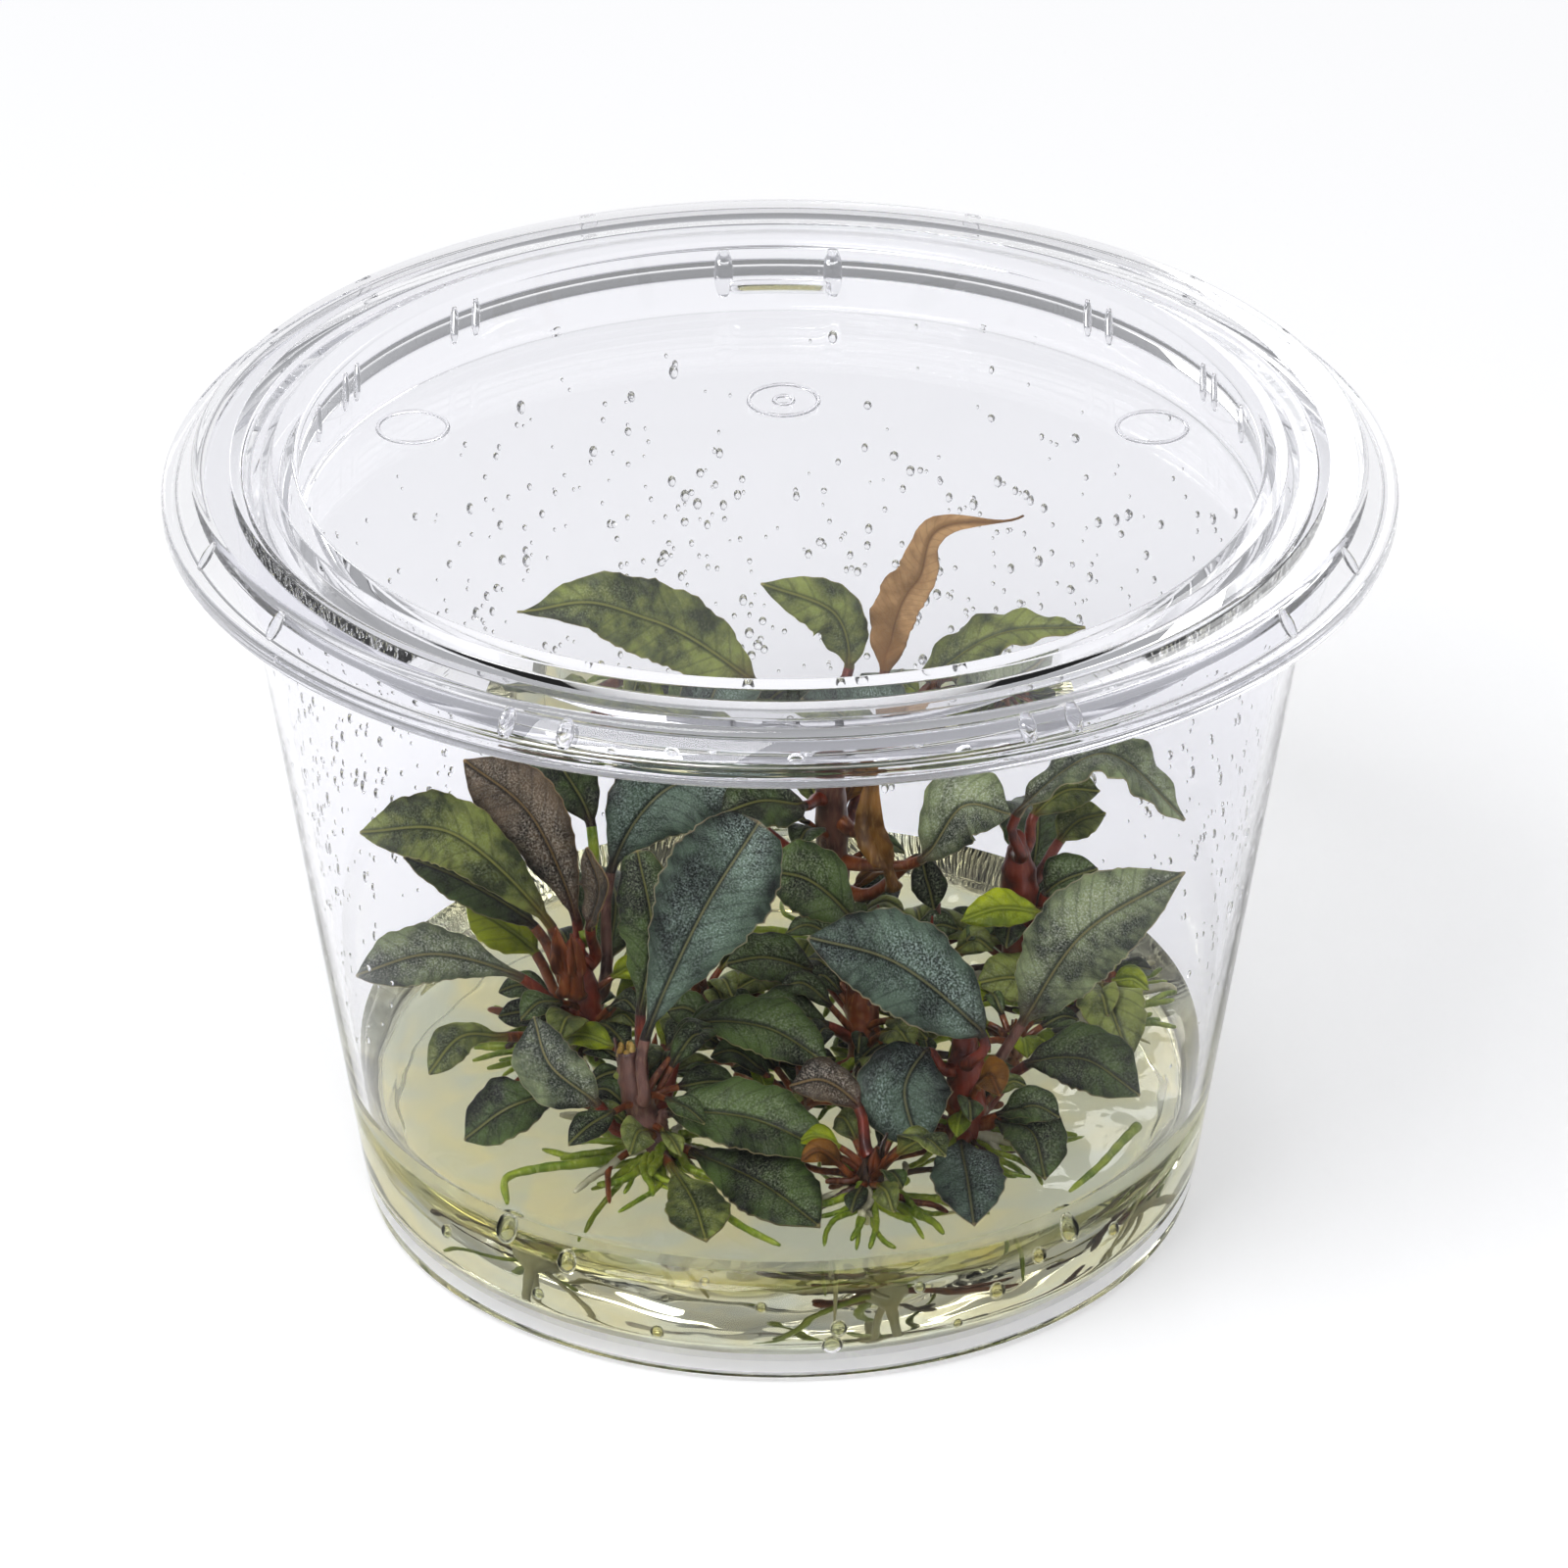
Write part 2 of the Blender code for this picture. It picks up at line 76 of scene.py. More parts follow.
def hex_linear(code: str) -> tuple[float, float, float, float]:
    """Turns an sRGB hex code into linear colour.

    Args:
        code: Six hex digits, such as "2E3B2C".

    Returns:
        Red, green, blue and an alpha of 1.
    """
    channels = [int(code[i:i + 2], 16) / 255 for i in (0, 2, 4)]
    red, green, blue = (c / 12.92 if c <= 0.04045 else ((c + 0.055) / 1.055) ** 2.4 for c in channels)
    return red, green, blue, 1.0


def add_node(tree: bpy.types.NodeTree, kind: str, settings: dict[str | int, object] | None = None,
             links: dict[str | int, Node | bpy.types.NodeSocket] | None = None) -> Node:
    """Adds one node with its settings and links.

    A map range has its value at input 0, its range at 1 and 2 and its result's at 3 and 4. A mix
    has its share at 0 and its colours at 6 and 7.

    Args:
        tree: The node tree that gets it.
        kind: The node's type after "ShaderNode", such as "TexNoise".
        settings: Values, or hex codes of colours, by property name, input name or number.
        links: What is linked in, by input name or number: a socket, or a node for its first output.

    Returns:
        The node.
    """
    node = tree.nodes.new("ShaderNode" + kind)
    for key, value in (settings or {}).items():
        if isinstance(key, str) and key in node.bl_rna.properties:
            setattr(node, key, value)
        else:
            node.inputs[key].default_value = hex_linear(value) if isinstance(value, str) else value
    for key, source in (links or {}).items():
        if isinstance(source, bpy.types.Node):
            source = next(out for out in source.outputs if out.enabled)
        tree.links.new(source, node.inputs[key])
    return node


def facing(angle: float) -> tuple[Vector, Vector]:
    """Unit vectors outwards and sideways at an angle from the front, in degrees."""
    turn = radians(angle)
    return Vector((sin(turn), -cos(turn), 0.0)), Vector((cos(turn), sin(turn), 0.0))


def level(turn: float) -> Vector:
    """A level unit vector at an angle round Z, in radians."""
    return Vector((cos(turn), sin(turn), 0.0))


def circle(steps: int) -> list[tuple[float, float]]:
    """Cosine and sine of equal steps round a circle."""
    return [(cos(tau * k / steps), sin(tau * k / steps)) for k in range(steps)]


def along_spine(points: Sequence[Vector], position: float) -> Vector:
    """Finds a point on the smooth curve through some points.

    Args:
        points: The points it passes through.
        position: 0 at the first point to len(points) - 1 at the last.

    Returns:
        The point there.
    """
    index = min(int(position), len(points) - 2)
    share = position - index
    first, last = points[index], points[index + 1]
    before = points[index - 1] if index else first * 2 - last
    after = points[index + 2] if index + 2 < len(points) else last * 2 - first
    return 0.5 * (
        first * 2
        + (last - before) * share
        + (before * 2 - first * 5 + last * 4 - after) * share ** 2
        + (first * 3 - before - last * 3 + after) * share ** 3
    )


def filleted(profile: Profile, steps: int = 5) -> list[tuple[float, float]]:
    """Rounds the corners of a turned profile.

    Args:
        profile: (radius, height, fillet radius) in millimetres.
        steps: Points on each rounded corner, less one.

    Returns:
        (radius, height) points with each corner drawn as an arc.
    """
    made: list[tuple[float, float]] = []
    for index, (radius, height, fillet) in enumerate(profile):
        if not fillet or index in (0, len(profile) - 1):
            made.append((radius, height))
            continue
        corner = Vector((radius, height))
        before, after = (Vector(profile[near][:2]) - corner for near in (index - 1, index + 1))
        half = before.angle(after) / 2
        reach = min(fillet / tan(half), before.length * 0.49, after.length * 0.49)
        start, end = (corner + side.normalized() * reach for side in (before, after))
        for share in (step / steps for step in range(steps + 1)):
            point = start * (1 - share) ** 2 + corner * (2 * share * (1 - share)) + end * share ** 2
            made.append((point.x, point.y))
    return made


def outward(shape: Mesh) -> Mesh:
    """Turns all faces of a mesh outwards and gives it back."""
    bmesh.ops.recalc_face_normals(shape, faces=shape.faces)
    return shape


def skin(shape: Mesh, rows: Rows, finish: int = 0) -> None:
    """Joins each row of vertices to the next with faces.

    Args:
        shape: The mesh.
        rows: Closed rows of equal count. One vertex repeated is a tip.
        finish: Material number of the faces.
    """
    for lower, upper in zip(rows, rows[1:]):
        for k in range(len(lower)):
            j = (k + 1) % len(lower)
            corners = dict.fromkeys((lower[k], lower[j], upper[j], upper[k]))
            if len(corners) > 2:
                shape.faces.new(corners).material_index = finish


def turned(profile: list[tuple[float, float]], segments: int) -> Mesh:
    """Turns a profile about Z.

    Args:
        profile: (radius, height) in millimetres, from the axis round and back to it.
        segments: Steps round the turn.

    Returns:
        The closed mesh, in metres.
    """
    shape = bmesh.new()
    rows = [
        [shape.verts.new(UP * height * MM)] * segments if radius < 0.001
        else [shape.verts.new((radius * MM * c, radius * MM * s, height * MM)) for c, s in circle(segments)]
        for radius, height in profile
    ]
    skin(shape, rows)
    return outward(shape)


def add_rings(shape: Mesh, rings: Rings, finish: int = 0) -> Rows:
    """Skins rings of equal count into a closed tube with capped ends.

    Args:
        shape: The mesh that gets them, in metres.
        rings: Points of each ring in millimetres.
        finish: Material number of its faces.

    Returns:
        The rows of new vertices.
    """
    rows = [[shape.verts.new(point * MM) for point in ring] for ring in rings]
    skin(shape, rows, finish)
    for cap in (rows[0][::-1], rows[-1]):
        shape.faces.new(cap).material_index = finish
    return rows


def tube_rings(path: Sequence[Vector], radii: Sequence[float], sides: int = 8) -> Rings:
    """Rings of a round stem that follows a path.

    Args:
        path: Centre points in millimetres.
        radii: The radius at each point.
        sides: Points on each ring.

    Returns:
        One ring for each point.
    """
    rings: Rings = []
    across = Vector((1.0, 0.0, 0.0))
    for index, (point, radius) in enumerate(zip(path, radii)):
        along = (path[min(index + 1, len(path) - 1)] - path[max(index - 1, 0)]).normalized()
        if abs(along.dot(across)) > 0.95:
            across = Vector((0.0, 1.0, 0.0))
        across = (across - along * across.dot(along)).normalized()
        other = along.cross(across)
        rings.append([point + across * (radius * c) + other * (radius * s) for c, s in circle(sides)])
    return rings


def place(shape: Mesh, name: str, slot: str, node: str, *finishes: Finish) -> Piece:
    """Makes a mesh a piece of the object, which rides on the cup and stands for its CAD node.

    Args:
        shape: The mesh, in metres. It is freed.
        name: The piece's name.
        slot: Not used.
        node: The CAD node that it stands for, or "".
        finishes: Its finishes, in the order of their material numbers.

    Returns:
        The piece.
    """
    mesh = bpy.data.meshes.new(name)
    shape.to_mesh(mesh)
    shape.free()
    for finish in finishes:
        mesh.materials.append(finish.material())
    mesh.shade_smooth()
    piece = bpy.data.objects.new(name, mesh)
    bpy.context.scene.collection.objects.link(piece)
    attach(piece, "root")
    if node:
        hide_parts(node)
    LOG.info("%s: %d faces", name, len(mesh.polygons))
    return piece


# ---- Finishes ----


@dataclass(frozen=True)
class Finish:
    """A finish, named for the real material and how its surface was made."""

    name: str

    def shader(self, add: Callable[..., Node]) -> Node:
        """Builds the finish's nodes.

        Args:
            add: Adds a node to its tree.

        Returns:
            The shader.
        """
        raise NotImplementedError

    def material(self) -> bpy.types.Material:
        """Gives the material, built on first use."""
        if self.name not in bpy.data.materials:
            made = bpy.data.materials.new(self.name)
            made.use_nodes = True
            made.node_tree.nodes.clear()
            add = partial(add_node, made.node_tree)
            add("OutputMaterial", links={"Surface": self.shader(add)})
        return bpy.data.materials[self.name]


@dataclass(frozen=True)
class ClearMoulding(Finish):
    """Clear plastic, injection moulded in a polished tool: water-clear, glassy, faintly wavy.

    Its IOR is matched down from 1.5, since the photograph's wall hardly veils what is behind it.
    """

    name: str = "moulded_clear_polypropylene"
    colour: str = "FCFCFE"
    ior: float = 1.12
    wave_mm: float = 14.0
    wave_depth_mm: float = 0.02

    def shader(self, add: Callable[..., Node]) -> Node:
        """Builds the plastic, with the slow waviness of a thin cooled wall."""
        wave = add("TexNoise", {"Scale": 1 / (self.wave_mm * MM), "Detail": 0.0},
                   {"Vector": add("TexCoord").outputs["Object"]})
        bump = add("Bump", {"Distance": self.wave_depth_mm * MM}, {"Height": wave})
        return add("BsdfPrincipled", {"Base Color": self.colour, "Roughness": 0.0, "IOR": self.ior,
                                      "Transmission Weight": 1.0}, {"Normal": bump})


@dataclass(frozen=True)
class AgarGel(Finish):
    """Agar gel, poured and set: clear and pale cream, clouded grey, its skin softly rippled; the grey is
    partly its own clouding, partly painted reflection of the room.
    """

    name: str = "poured_agar_gel"
    cream: str = "F5EFC0"
    # Grey of the soft patches: partly the gel's own clouding, partly painted reflection of the room.
    cloud_and_reflection: str = "E6E9D0"
    ior: float = 1.33
    ripple_mm: float = 8.0
    ripple_depth_mm: float = 0.07
    cloud_and_reflection_mm: float = 6.0

    def shader(self, add: Callable[..., Node]) -> Node:
        """Builds the gel, tinted cream and clouded grey: partly its own clouding, partly painted reflection.
        """
        flat = add("Mapping", {"Scale": (0.7, 0.7, 1.5)}, {"Vector": add("TexCoord").outputs["Object"]})
        # Soft grey patches in the tint: partly the gel's own clouding, partly painted reflection of the room.
        cloud_and_reflection_noise = add("TexNoise", {"Scale": 1 / (self.cloud_and_reflection_mm * MM), "Detail": 1.0, "Distortion": 0.8},
                     {"Vector": flat})
        cloud_and_reflection = add("MapRange", {1: 0.42, 2: 0.6}, {0: cloud_and_reflection_noise})
        tint = add("Mix", {"data_type": "RGBA", 6: self.cream, 7: self.cloud_and_reflection},
                   {0: cloud_and_reflection})
        ripple = add("TexNoise", {"Scale": 1 / (self.ripple_mm * MM), "Detail": 1.0, "Roughness": 0.42,
                                  "Distortion": 0.4}, {"Vector": flat})
        bump = add("Bump", {"Distance": self.ripple_depth_mm * MM}, {"Height": ripple})
        return add("BsdfPrincipled", {"Roughness": 0.0, "IOR": self.ior, "Transmission Weight": 1.0},
                   {"Base Color": tint, "Normal": bump})


@dataclass(frozen=True)
class WaterDrops(Finish):
    """Condensed water: clear beads with dark rims where they turn the light away."""

    name: str = "condensed_water"
    ior: float = 1.33

    def shader(self, add: Callable[..., Node]) -> Node:
        """Builds the water."""
        return add("BsdfPrincipled", {"Base Color": "FFFFFF", "Roughness": 0.0, "IOR": self.ior,
                                      "Transmission Weight": 1.0})


@dataclass(frozen=True)
class LeafTissue(Finish):
    """Grown leaf with a waxy skin over fine cells, flecked silver: partly its own flecks, partly painted
    highlights and sheen.
    """

    deep: str
    light: str
    # Silver of the flecks: partly the leaf's own, partly painted highlights where cells catch the light.
    fleck_and_glint_colour: str
    # Pale line by the midrib: partly its own colour, partly a painted highlight.
    rib_and_highlight: str
    margin: str
    neck: str
    fleck_and_glint_amount: float = 0.55
    roughness: float = 0.34
    # Cells are about 0.05 mm across: drawn three times as coarse so that they show.
    cell_mm: float = 0.16
    patch_mm: float = 5.0
    vein_mm: float = 1.5

    def shader(self, add: Callable[..., Node]) -> Node:
        """Builds the leaf: skin with silver flecks and painted highlights, side veins, pale midrib with a
        painted highlight beside it in a groove of painted shade, margin line, reddish neck.
        """
        where = add("TexCoord").outputs["Object"]
        grain = add("UVMap", {"uv_map": "grain"})
        shares = add("SeparateXYZ", links={0: add("UVMap", {"uv_map": "share"})})
        grains = add("SeparateXYZ", links={0: grain})
        across = add("Math", {"operation": "ABSOLUTE"}, {0: shares})
        across_mm = add("Math", {"operation": "ABSOLUTE"}, {0: grains})
        cells = add("TexNoise", {"Scale": 1 / self.cell_mm, "Roughness": 0.6, "Distortion": 0.6},
                    {"Vector": grain})

        # The skin is mottled and patched, and flecked silver: partly its own flecks, partly painted
        # highlights and sheen where cells catch the light.
        patches = add("TexNoise", {"Scale": 1 / (self.patch_mm * MM)}, {"Vector": where})
        patch = add("MapRange", {1: 0.36, 2: 0.66}, {0: patches})
        mottles = add("TexNoise", {"Scale": 0.9}, {"Vector": grain})
        mottle = add("MapRange", {1: 0.3, 2: 0.7, 3: -0.3, 4: 0.3}, {0: mottles})
        share = add("Math", {"operation": "ADD", "use_clamp": True}, {0: patch, 1: mottle})
        skin_mix = add("Mix", {"data_type": "RGBA", 6: self.deep, 7: self.light}, {0: share})
        # Flecks on the cells, partly the leaf's own silver and partly painted highlights.
        fleck_and_glint_cells = add("MapRange", {1: 0.44, 2: 0.7}, {0: cells})
        # Flecks thin out towards the margins, so mid-way across each half carries a painted sheen.
        fleck_and_sheen_band = add("MapRange", {1: 0.95, 2: 0.5}, {0: across})
        # Noise patches of strong and weak flecks: painted sheen zones with duller zones between.
        painted_sheen_noise = add("TexNoise", {"Scale": 0.8 / (self.patch_mm * MM), "Detail": 1.0}, {"Vector": where})
        painted_sheen_patches = add("MapRange", {1: 0.4, 2: 0.6, 3: 0.4 * self.fleck_and_glint_amount, 4: self.fleck_and_glint_amount},
                      {0: painted_sheen_noise})
        fleck_and_sheen_mask = add("Math", {"operation": "MULTIPLY"}, {0: fleck_and_sheen_band, 1: painted_sheen_patches})
        flecks_and_painted_glints = add("Math", {"operation": "MULTIPLY"}, {0: fleck_and_glint_cells, 1: fleck_and_sheen_mask})

        # Side veins run slantwise from the midrib, which lies in a groove.
        slant = add("Math", {"operation": "MULTIPLY_ADD", 1: -0.9}, {0: across_mm, 2: grains.outputs[1]})
        turns = add("Math", {"operation": "MULTIPLY", 1: tau / self.vein_mm}, {0: slant})
        waves = add("Math", {"operation": "SINE"}, {0: turns})
        veins = add("MapRange", {1: 0.7, 2: 1.0, 3: 0.0, 4: 0.3}, {0: waves})
        # Painted shade: the midrib's groove is darkened with the deep colour.
        groove = add("MapRange", {1: 0.1, 2: 0.42, 3: 0.8, 4: 0.0, "interpolation_type": "SMOOTHSTEP"},
                     {0: across_mm})
        # The pale line lies a little to one side of the midrib: partly its own pale colour, partly a painted
        # highlight on one side of the groove.
        off_rib = add("Math", {"operation": "SUBTRACT", 1: 0.05}, {0: grains})
        beside = add("Math", {"operation": "ABSOLUTE"}, {0: off_rib})
        rib_and_highlight = add("MapRange", {1: 0.05, 2: 0.14, 3: 0.75, 4: 0.0}, {0: beside})
        edge = add("MapRange", {1: 0.96, 2: 0.99, 3: 0.0, 4: 0.5}, {0: across})
        tip = add("MapRange", {1: 0.98, 2: 0.998, 3: 0.0, 4: 0.6}, {0: shares.outputs[1]})
        edges = add("Math", {"operation": "MAXIMUM"}, {0: edge, 1: tip})
        neck = add("MapRange", {1: -0.05, 2: 0.22, 3: 1.0, 4: 0.0, "interpolation_type": "SMOOTHSTEP"},
                   {0: shares.outputs[1]})
        near_rib = add("MapRange", {1: 0.15, 2: 1.8, 3: 1.0, 4: 0.3}, {0: across_mm})
        flush = add("Math", {"operation": "MULTIPLY"}, {0: neck, 1: near_rib})
        colour = skin_mix
        for amount, code in ((flecks_and_painted_glints, self.fleck_and_glint_colour), (veins, self.deep), (groove, self.deep),
                             (rib_and_highlight, self.rib_and_highlight), (flush, self.neck), (edges, self.margin)):
            colour = add("Mix", {"data_type": "RGBA", 7: code}, {0: amount, 6: colour})

        gloss = add("MapRange", {3: self.roughness + 0.1, 4: self.roughness - 0.12}, {0: cells})
        relief = add("Math", {"operation": "MULTIPLY_ADD", 1: -1.2}, {0: veins, 2: cells})
        bump = add("Bump", {"Distance": 0.05 * MM}, {"Height": relief})
        # Dull flesh under the wax sheen: a leaf mirrors less than the usual 4 %.
        return add("BsdfPrincipled", {"Specular IOR Level": 0.28},
                   {"Base Color": colour, "Roughness": gloss, "Normal": bump})


@dataclass(frozen=True)
class StemTissue(Finish):
    """Grown stem, root or sheath: smooth waxy skin with fine streaks along it."""

    low: str
    high: str
    streak: str
    roughness: float = 0.34
    # Fibres are about 0.1 mm wide, drawn three times as wide; patches run along the stem.
    streak_mm: float = 0.3
    patch_mm: float = 2.6

    def shader(self, add: Callable[..., Node]) -> Node:
        """Builds the stem: two colours in patches, fine streaks and a moist coat."""
        where = add("TexCoord").outputs["Object"]
        patches = add("TexNoise", {"Scale": 1 / (self.patch_mm * MM)}, {"Vector": where})
        patch = add("MapRange", {1: 0.38, 2: 0.62}, {0: patches})
        flesh = add("Mix", {"data_type": "RGBA", 6: self.low, 7: self.high}, {0: patch})
        stretched = add("Mapping", {"Scale": (1.0, 1.0, 0.22)}, {"Vector": where})
        streaks = add("TexNoise", {"Scale": 1 / (self.streak_mm * MM)}, {"Vector": stretched})
        streak = add("MapRange", {1: 0.5, 2: 0.75, 3: 0.0, 4: 0.55}, {0: streaks})
        whole = add("Mix", {"data_type": "RGBA", 7: self.streak}, {0: streak, 6: flesh})
        bump = add("Bump", {"Strength": 0.5, "Distance": 0.05 * MM}, {"Height": streaks})
        return add("BsdfPrincipled", {"Roughness": self.roughness, "Coat Weight": 0.2,
                                      "Coat Roughness": 0.12}, {"Base Color": whole, "Normal": bump})


@dataclass(frozen=True)
class LightTable(Finish):
    """Opal acrylic sheet, sanded: matt white, with an even glow and no mirror."""

    name: str = "white_acrylic_light_table"
    colour: str = "BCBCBD"
    glow: float = 0.58

    def shader(self, add: Callable[..., Node]) -> Node:
        """Builds the sheet, lit softly from below."""
        bpy.data.materials[self.name].cycles.emission_sampling = "NONE"
        return add("BsdfPrincipled", {
            "Base Color": self.colour, "Roughness": 0.9, "Specular IOR Level": 0.0,
            "Emission Color": "FFFFFF", "Emission Strength": self.glow})


class Tone(Enum):
    """Leaf colours that the plants show."""

    TEAL = LeafTissue("leaf_dark_teal", "171E18", "667A66", "D8ECE0", "8C8A60", "CCB890", "301E16", 0.78)
    DARK = LeafTissue("leaf_dark_green", "151A0E", "60763C", "D0DCB4", "8C8C50", "BCAA7C", "3C261C", 0.52)
    GREY = LeafTissue("leaf_grey_green", "3A4234", "A0AC7E", "ECF0DC", "A49C6A", "CCBC98", "584030", 0.74)
    OLIVE = LeafTissue("leaf_olive_green", "38421E", "A8B25C", "DCE4B4", "A8A858", "C0B07C", "745A26", 0.46)
    LIME = LeafTissue("leaf_young_lime", "667810", "C4D125", "DCE484", "B0BC48", "C4C060", "80802A", 0.4)
    BRONZE = LeafTissue("leaf_bronze_grey", "241E16", "7A6852", "E4D8C4", "9C8256", "CCAC78", "562A20", 0.72)
    AMBER = LeafTissue("leaf_old_amber", "48280C", "A06C22", "CCA86C", "8A5822", "CC9C4C", "6A3614", 0.3)
    DRY = LeafTissue("leaf_dried_tan", "A07844", "D8AE7A", "E4C89C", "8A6238", "7C5832", "9A6A34", 0.2,
                     0.7, 0.3, 4.0, 0.8)


class Bark(Enum):
    """Stem, sheath and root colours."""

    CRIMSON = StemTissue("stem_crimson", "5A1C0C", "96381C", "B8643C")
    MAUVE = StemTissue("stem_mauve_brown", "54362E", "865E50", "A6826C")
    RUST = StemTissue("sheath_orange_brown", "5E2A0C", "9A5020", "C4844A")
    TAN = StemTissue("bract_tan_brown", "6A461A", "A87838", "C49C60")
    STRAW = StemTissue("sheath_straw", "B08A38", "D4B45C", "E8D690")
    EARTH = StemTissue("old_root_brown", "342012", "60422A", "8E6C4A")
    GREEN = StemTissue("root_fresh_green", "7E9A20", "B4C63C", "DCE484")
    PALE = StemTissue("root_pale_cream", "D0CCA0", "E6E2BE", "F4F2D8")


# ---- The moulded cup, its lid and what is poured in ----


@dataclass
class Cup:
    """The tapered cup with its foot ring and flange."""

    foot_radius: float = 34.8
    taper: float = 0.1477
    wall: float = 0.9
    floor: float = 1.6
    height: float = 65.6
    flange: float = 46.5
    segments: int = 360

    def outer(self, height: float) -> float:
        """Outer radius of the wall at a height."""
        return self.foot_radius + self.taper * height

    def inner(self, height: float) -> float:
        """Inner radius of the wall at a height."""
        return self.outer(height) - self.wall

    def build(self) -> Piece:
        """Turns the cup: foot ring, wall, flange, then down the inside to the floor."""
        under = self.height - 0.9
        profile = [
            (0.0, 0.7, 0.0), (32.2, 0.7, 0.3), (32.6, 0.0, 0.25), (34.0, 0.0, 0.3), (34.75, 0.5, 0.4),
            (self.outer(1.6), 1.6, 1.0), (self.outer(under), under, 0.3), (self.flange, under, 0.3),
            (self.flange, self.height, 0.3), (self.inner(self.height), self.height, 0.5),
            (self.inner(3.4), 3.4, 2.0), (self.inner(self.floor) - 1.8, self.floor, 1.2),
            (0.0, self.floor, 0.0),
        ]
        shape = turned(filleted(profile), self.segments)
        return place(shape, "cup_moulding", "clear_plastic", "cup", ClearMoulding())


@dataclass
class Lid:
    """The press-on lid: sunk panel, grooved ring, skirt and lip, with its moulded marks."""

    panel: float = 60.8
    recess: float = 39.2
    top: float = 67.2
    radius: float = 50.0
    seal: float = 43.2
    segments: int = 192
    # The lift tab at the back of the recess: radius, height, thickness, degrees to each side, steps.
    tab_radius: float = 38.8
    tab_height: float = 63.0
    tab_thick: float = 1.5
    tab_turn: float = 6.4
    tab_steps: int = 24
    # Gate and vent marks on the panel: x, y and radius of each raised ring.
    marks: tuple[tuple[float, ...], ...] = (
        (-30.4, 16.5, 2.9), (0.3, 21.5, 2.9), (0.3, 21.5, 0.8), (30.8, 16.5, 2.9))
    # Upright bars: radius and height of both ends, width, depth, then degrees from the front. They
    # are stiffening ribs under the skirt, posts of the lift tab and lugs on the recess wall.
    bars: tuple[tuple[float, ...], ...] = (
        (48.75, 64.5, 47.35, 66.6, 1.5, 0.5, -25.7, -19.9, 23.2, 27.9, -54.9, -70.6, 55.5, 69.6, 118.0,
         133.0, -118.0, -133.0, 160.0, -160.0),
        (38.85, 62.2, 38.75, 66.6, 1.7, 0.8, 173.4, -172.9),
        (38.95, 63.0, 38.85, 66.4, 0.8, 0.5, -139.0, -135.5, -116.0, -113.0, -104.0, 104.0, 113.0, 116.0,
         135.0, 138.5))

    def profile(self) -> Profile:
        """Top face from the axis out to the lip, then back along the underside."""
        return [
            (0.0, self.panel, 0.0), (self.recess, self.panel, 0.8), (self.recess - 0.3, self.top, 0.5),
            (41.0, self.top, 0.4), (41.9, self.top - 0.55, 0.5), (43.5, self.top - 0.55, 0.5),
            (44.4, self.top, 0.4), (47.4, self.top, 0.7), (48.9, 64.8, 0.5), (self.radius, 64.8, 0.45),
            (self.radius, 63.4, 0.3), (48.1, 63.4, 0.25), (48.1, 64.3, 0.5), (46.7, 65.9, 0.5),
            (self.seal, 65.9, 0.3), (self.seal - 0.3, 64.2, 0.4), (40.3, 63.4, 0.4), (40.0, 60.0, 0.5),
            (0.0, 60.0, 0.0),
        ]

    def add_bars(self, shape: Mesh) -> None:
        """Adds the rounded bars to the skirt and the recess.

        Args:
            shape: The lid's mesh.
        """
        oval = [[copysign(abs(part) ** 0.6, part) for part in spot] for spot in circle(16)]
        for radius, height, radius_up, height_up, width, depth, *angles in self.bars:
            for out, side in map(facing, angles):
                rings: Rings = []
                for share in (0.0, 0.06, 0.2, 0.5, 0.8, 0.94, 1.0):
                    swell = sin(pi * min(max(share, 0.03), 0.97)) ** 0.35
                    centre = (out * (radius + (radius_up - radius) * share)
                              + UP * (height + (height_up - height) * share))
                    rings.append([centre + side * (width / 2 * swell * c) + out * (depth / 2 * swell * s)
                                  for c, s in oval])
                add_rings(shape, rings)

    def build(self) -> Piece:
        """Turns the lid and adds its marks, bars and the lift tab at the back of its recess."""
        shape = turned(filleted(self.profile()), self.segments)
        section = ((-0.2, -0.08), (-0.14, 0.13), (0.0, 0.2), (0.14, 0.13), (0.2, -0.08))
        for x, y, radius in self.marks:
            rows = [[shape.verts.new(Vector((x + (radius + out) * c, y + (radius + out) * s,
                                             self.panel + high)) * MM) for c, s in circle(40)]
                    for out, high in section]
            skin(shape, rows + rows[:1])
        self.add_bars(shape)
        shares = [k / self.tab_steps for k in range(self.tab_steps + 1)]
        tab = [Vector((self.tab_radius * sin(turn), self.tab_radius * cos(turn), self.tab_height))
               for turn in (radians(self.tab_turn * (2 * share - 1)) for share in shares)]
        sizes = [self.tab_thick * min(1.0, sin(pi * (0.06 + 0.88 * share)) * 2.2) ** 0.5
                 for share in shares]
        rings = tube_rings(tab, sizes, 16)
        for ring, centre in zip(rings, tab):
            out = centre.normalized()
            for point in ring:
                point -= out * (point - centre).dot(out) * 0.6
        add_rings(shape, rings)
        clear = ClearMoulding("moulded_clear_polystyrene", "FAFAFB", 1.36)
        return place(outward(shape), "lid_moulding", "clear_plastic", "lid", clear)


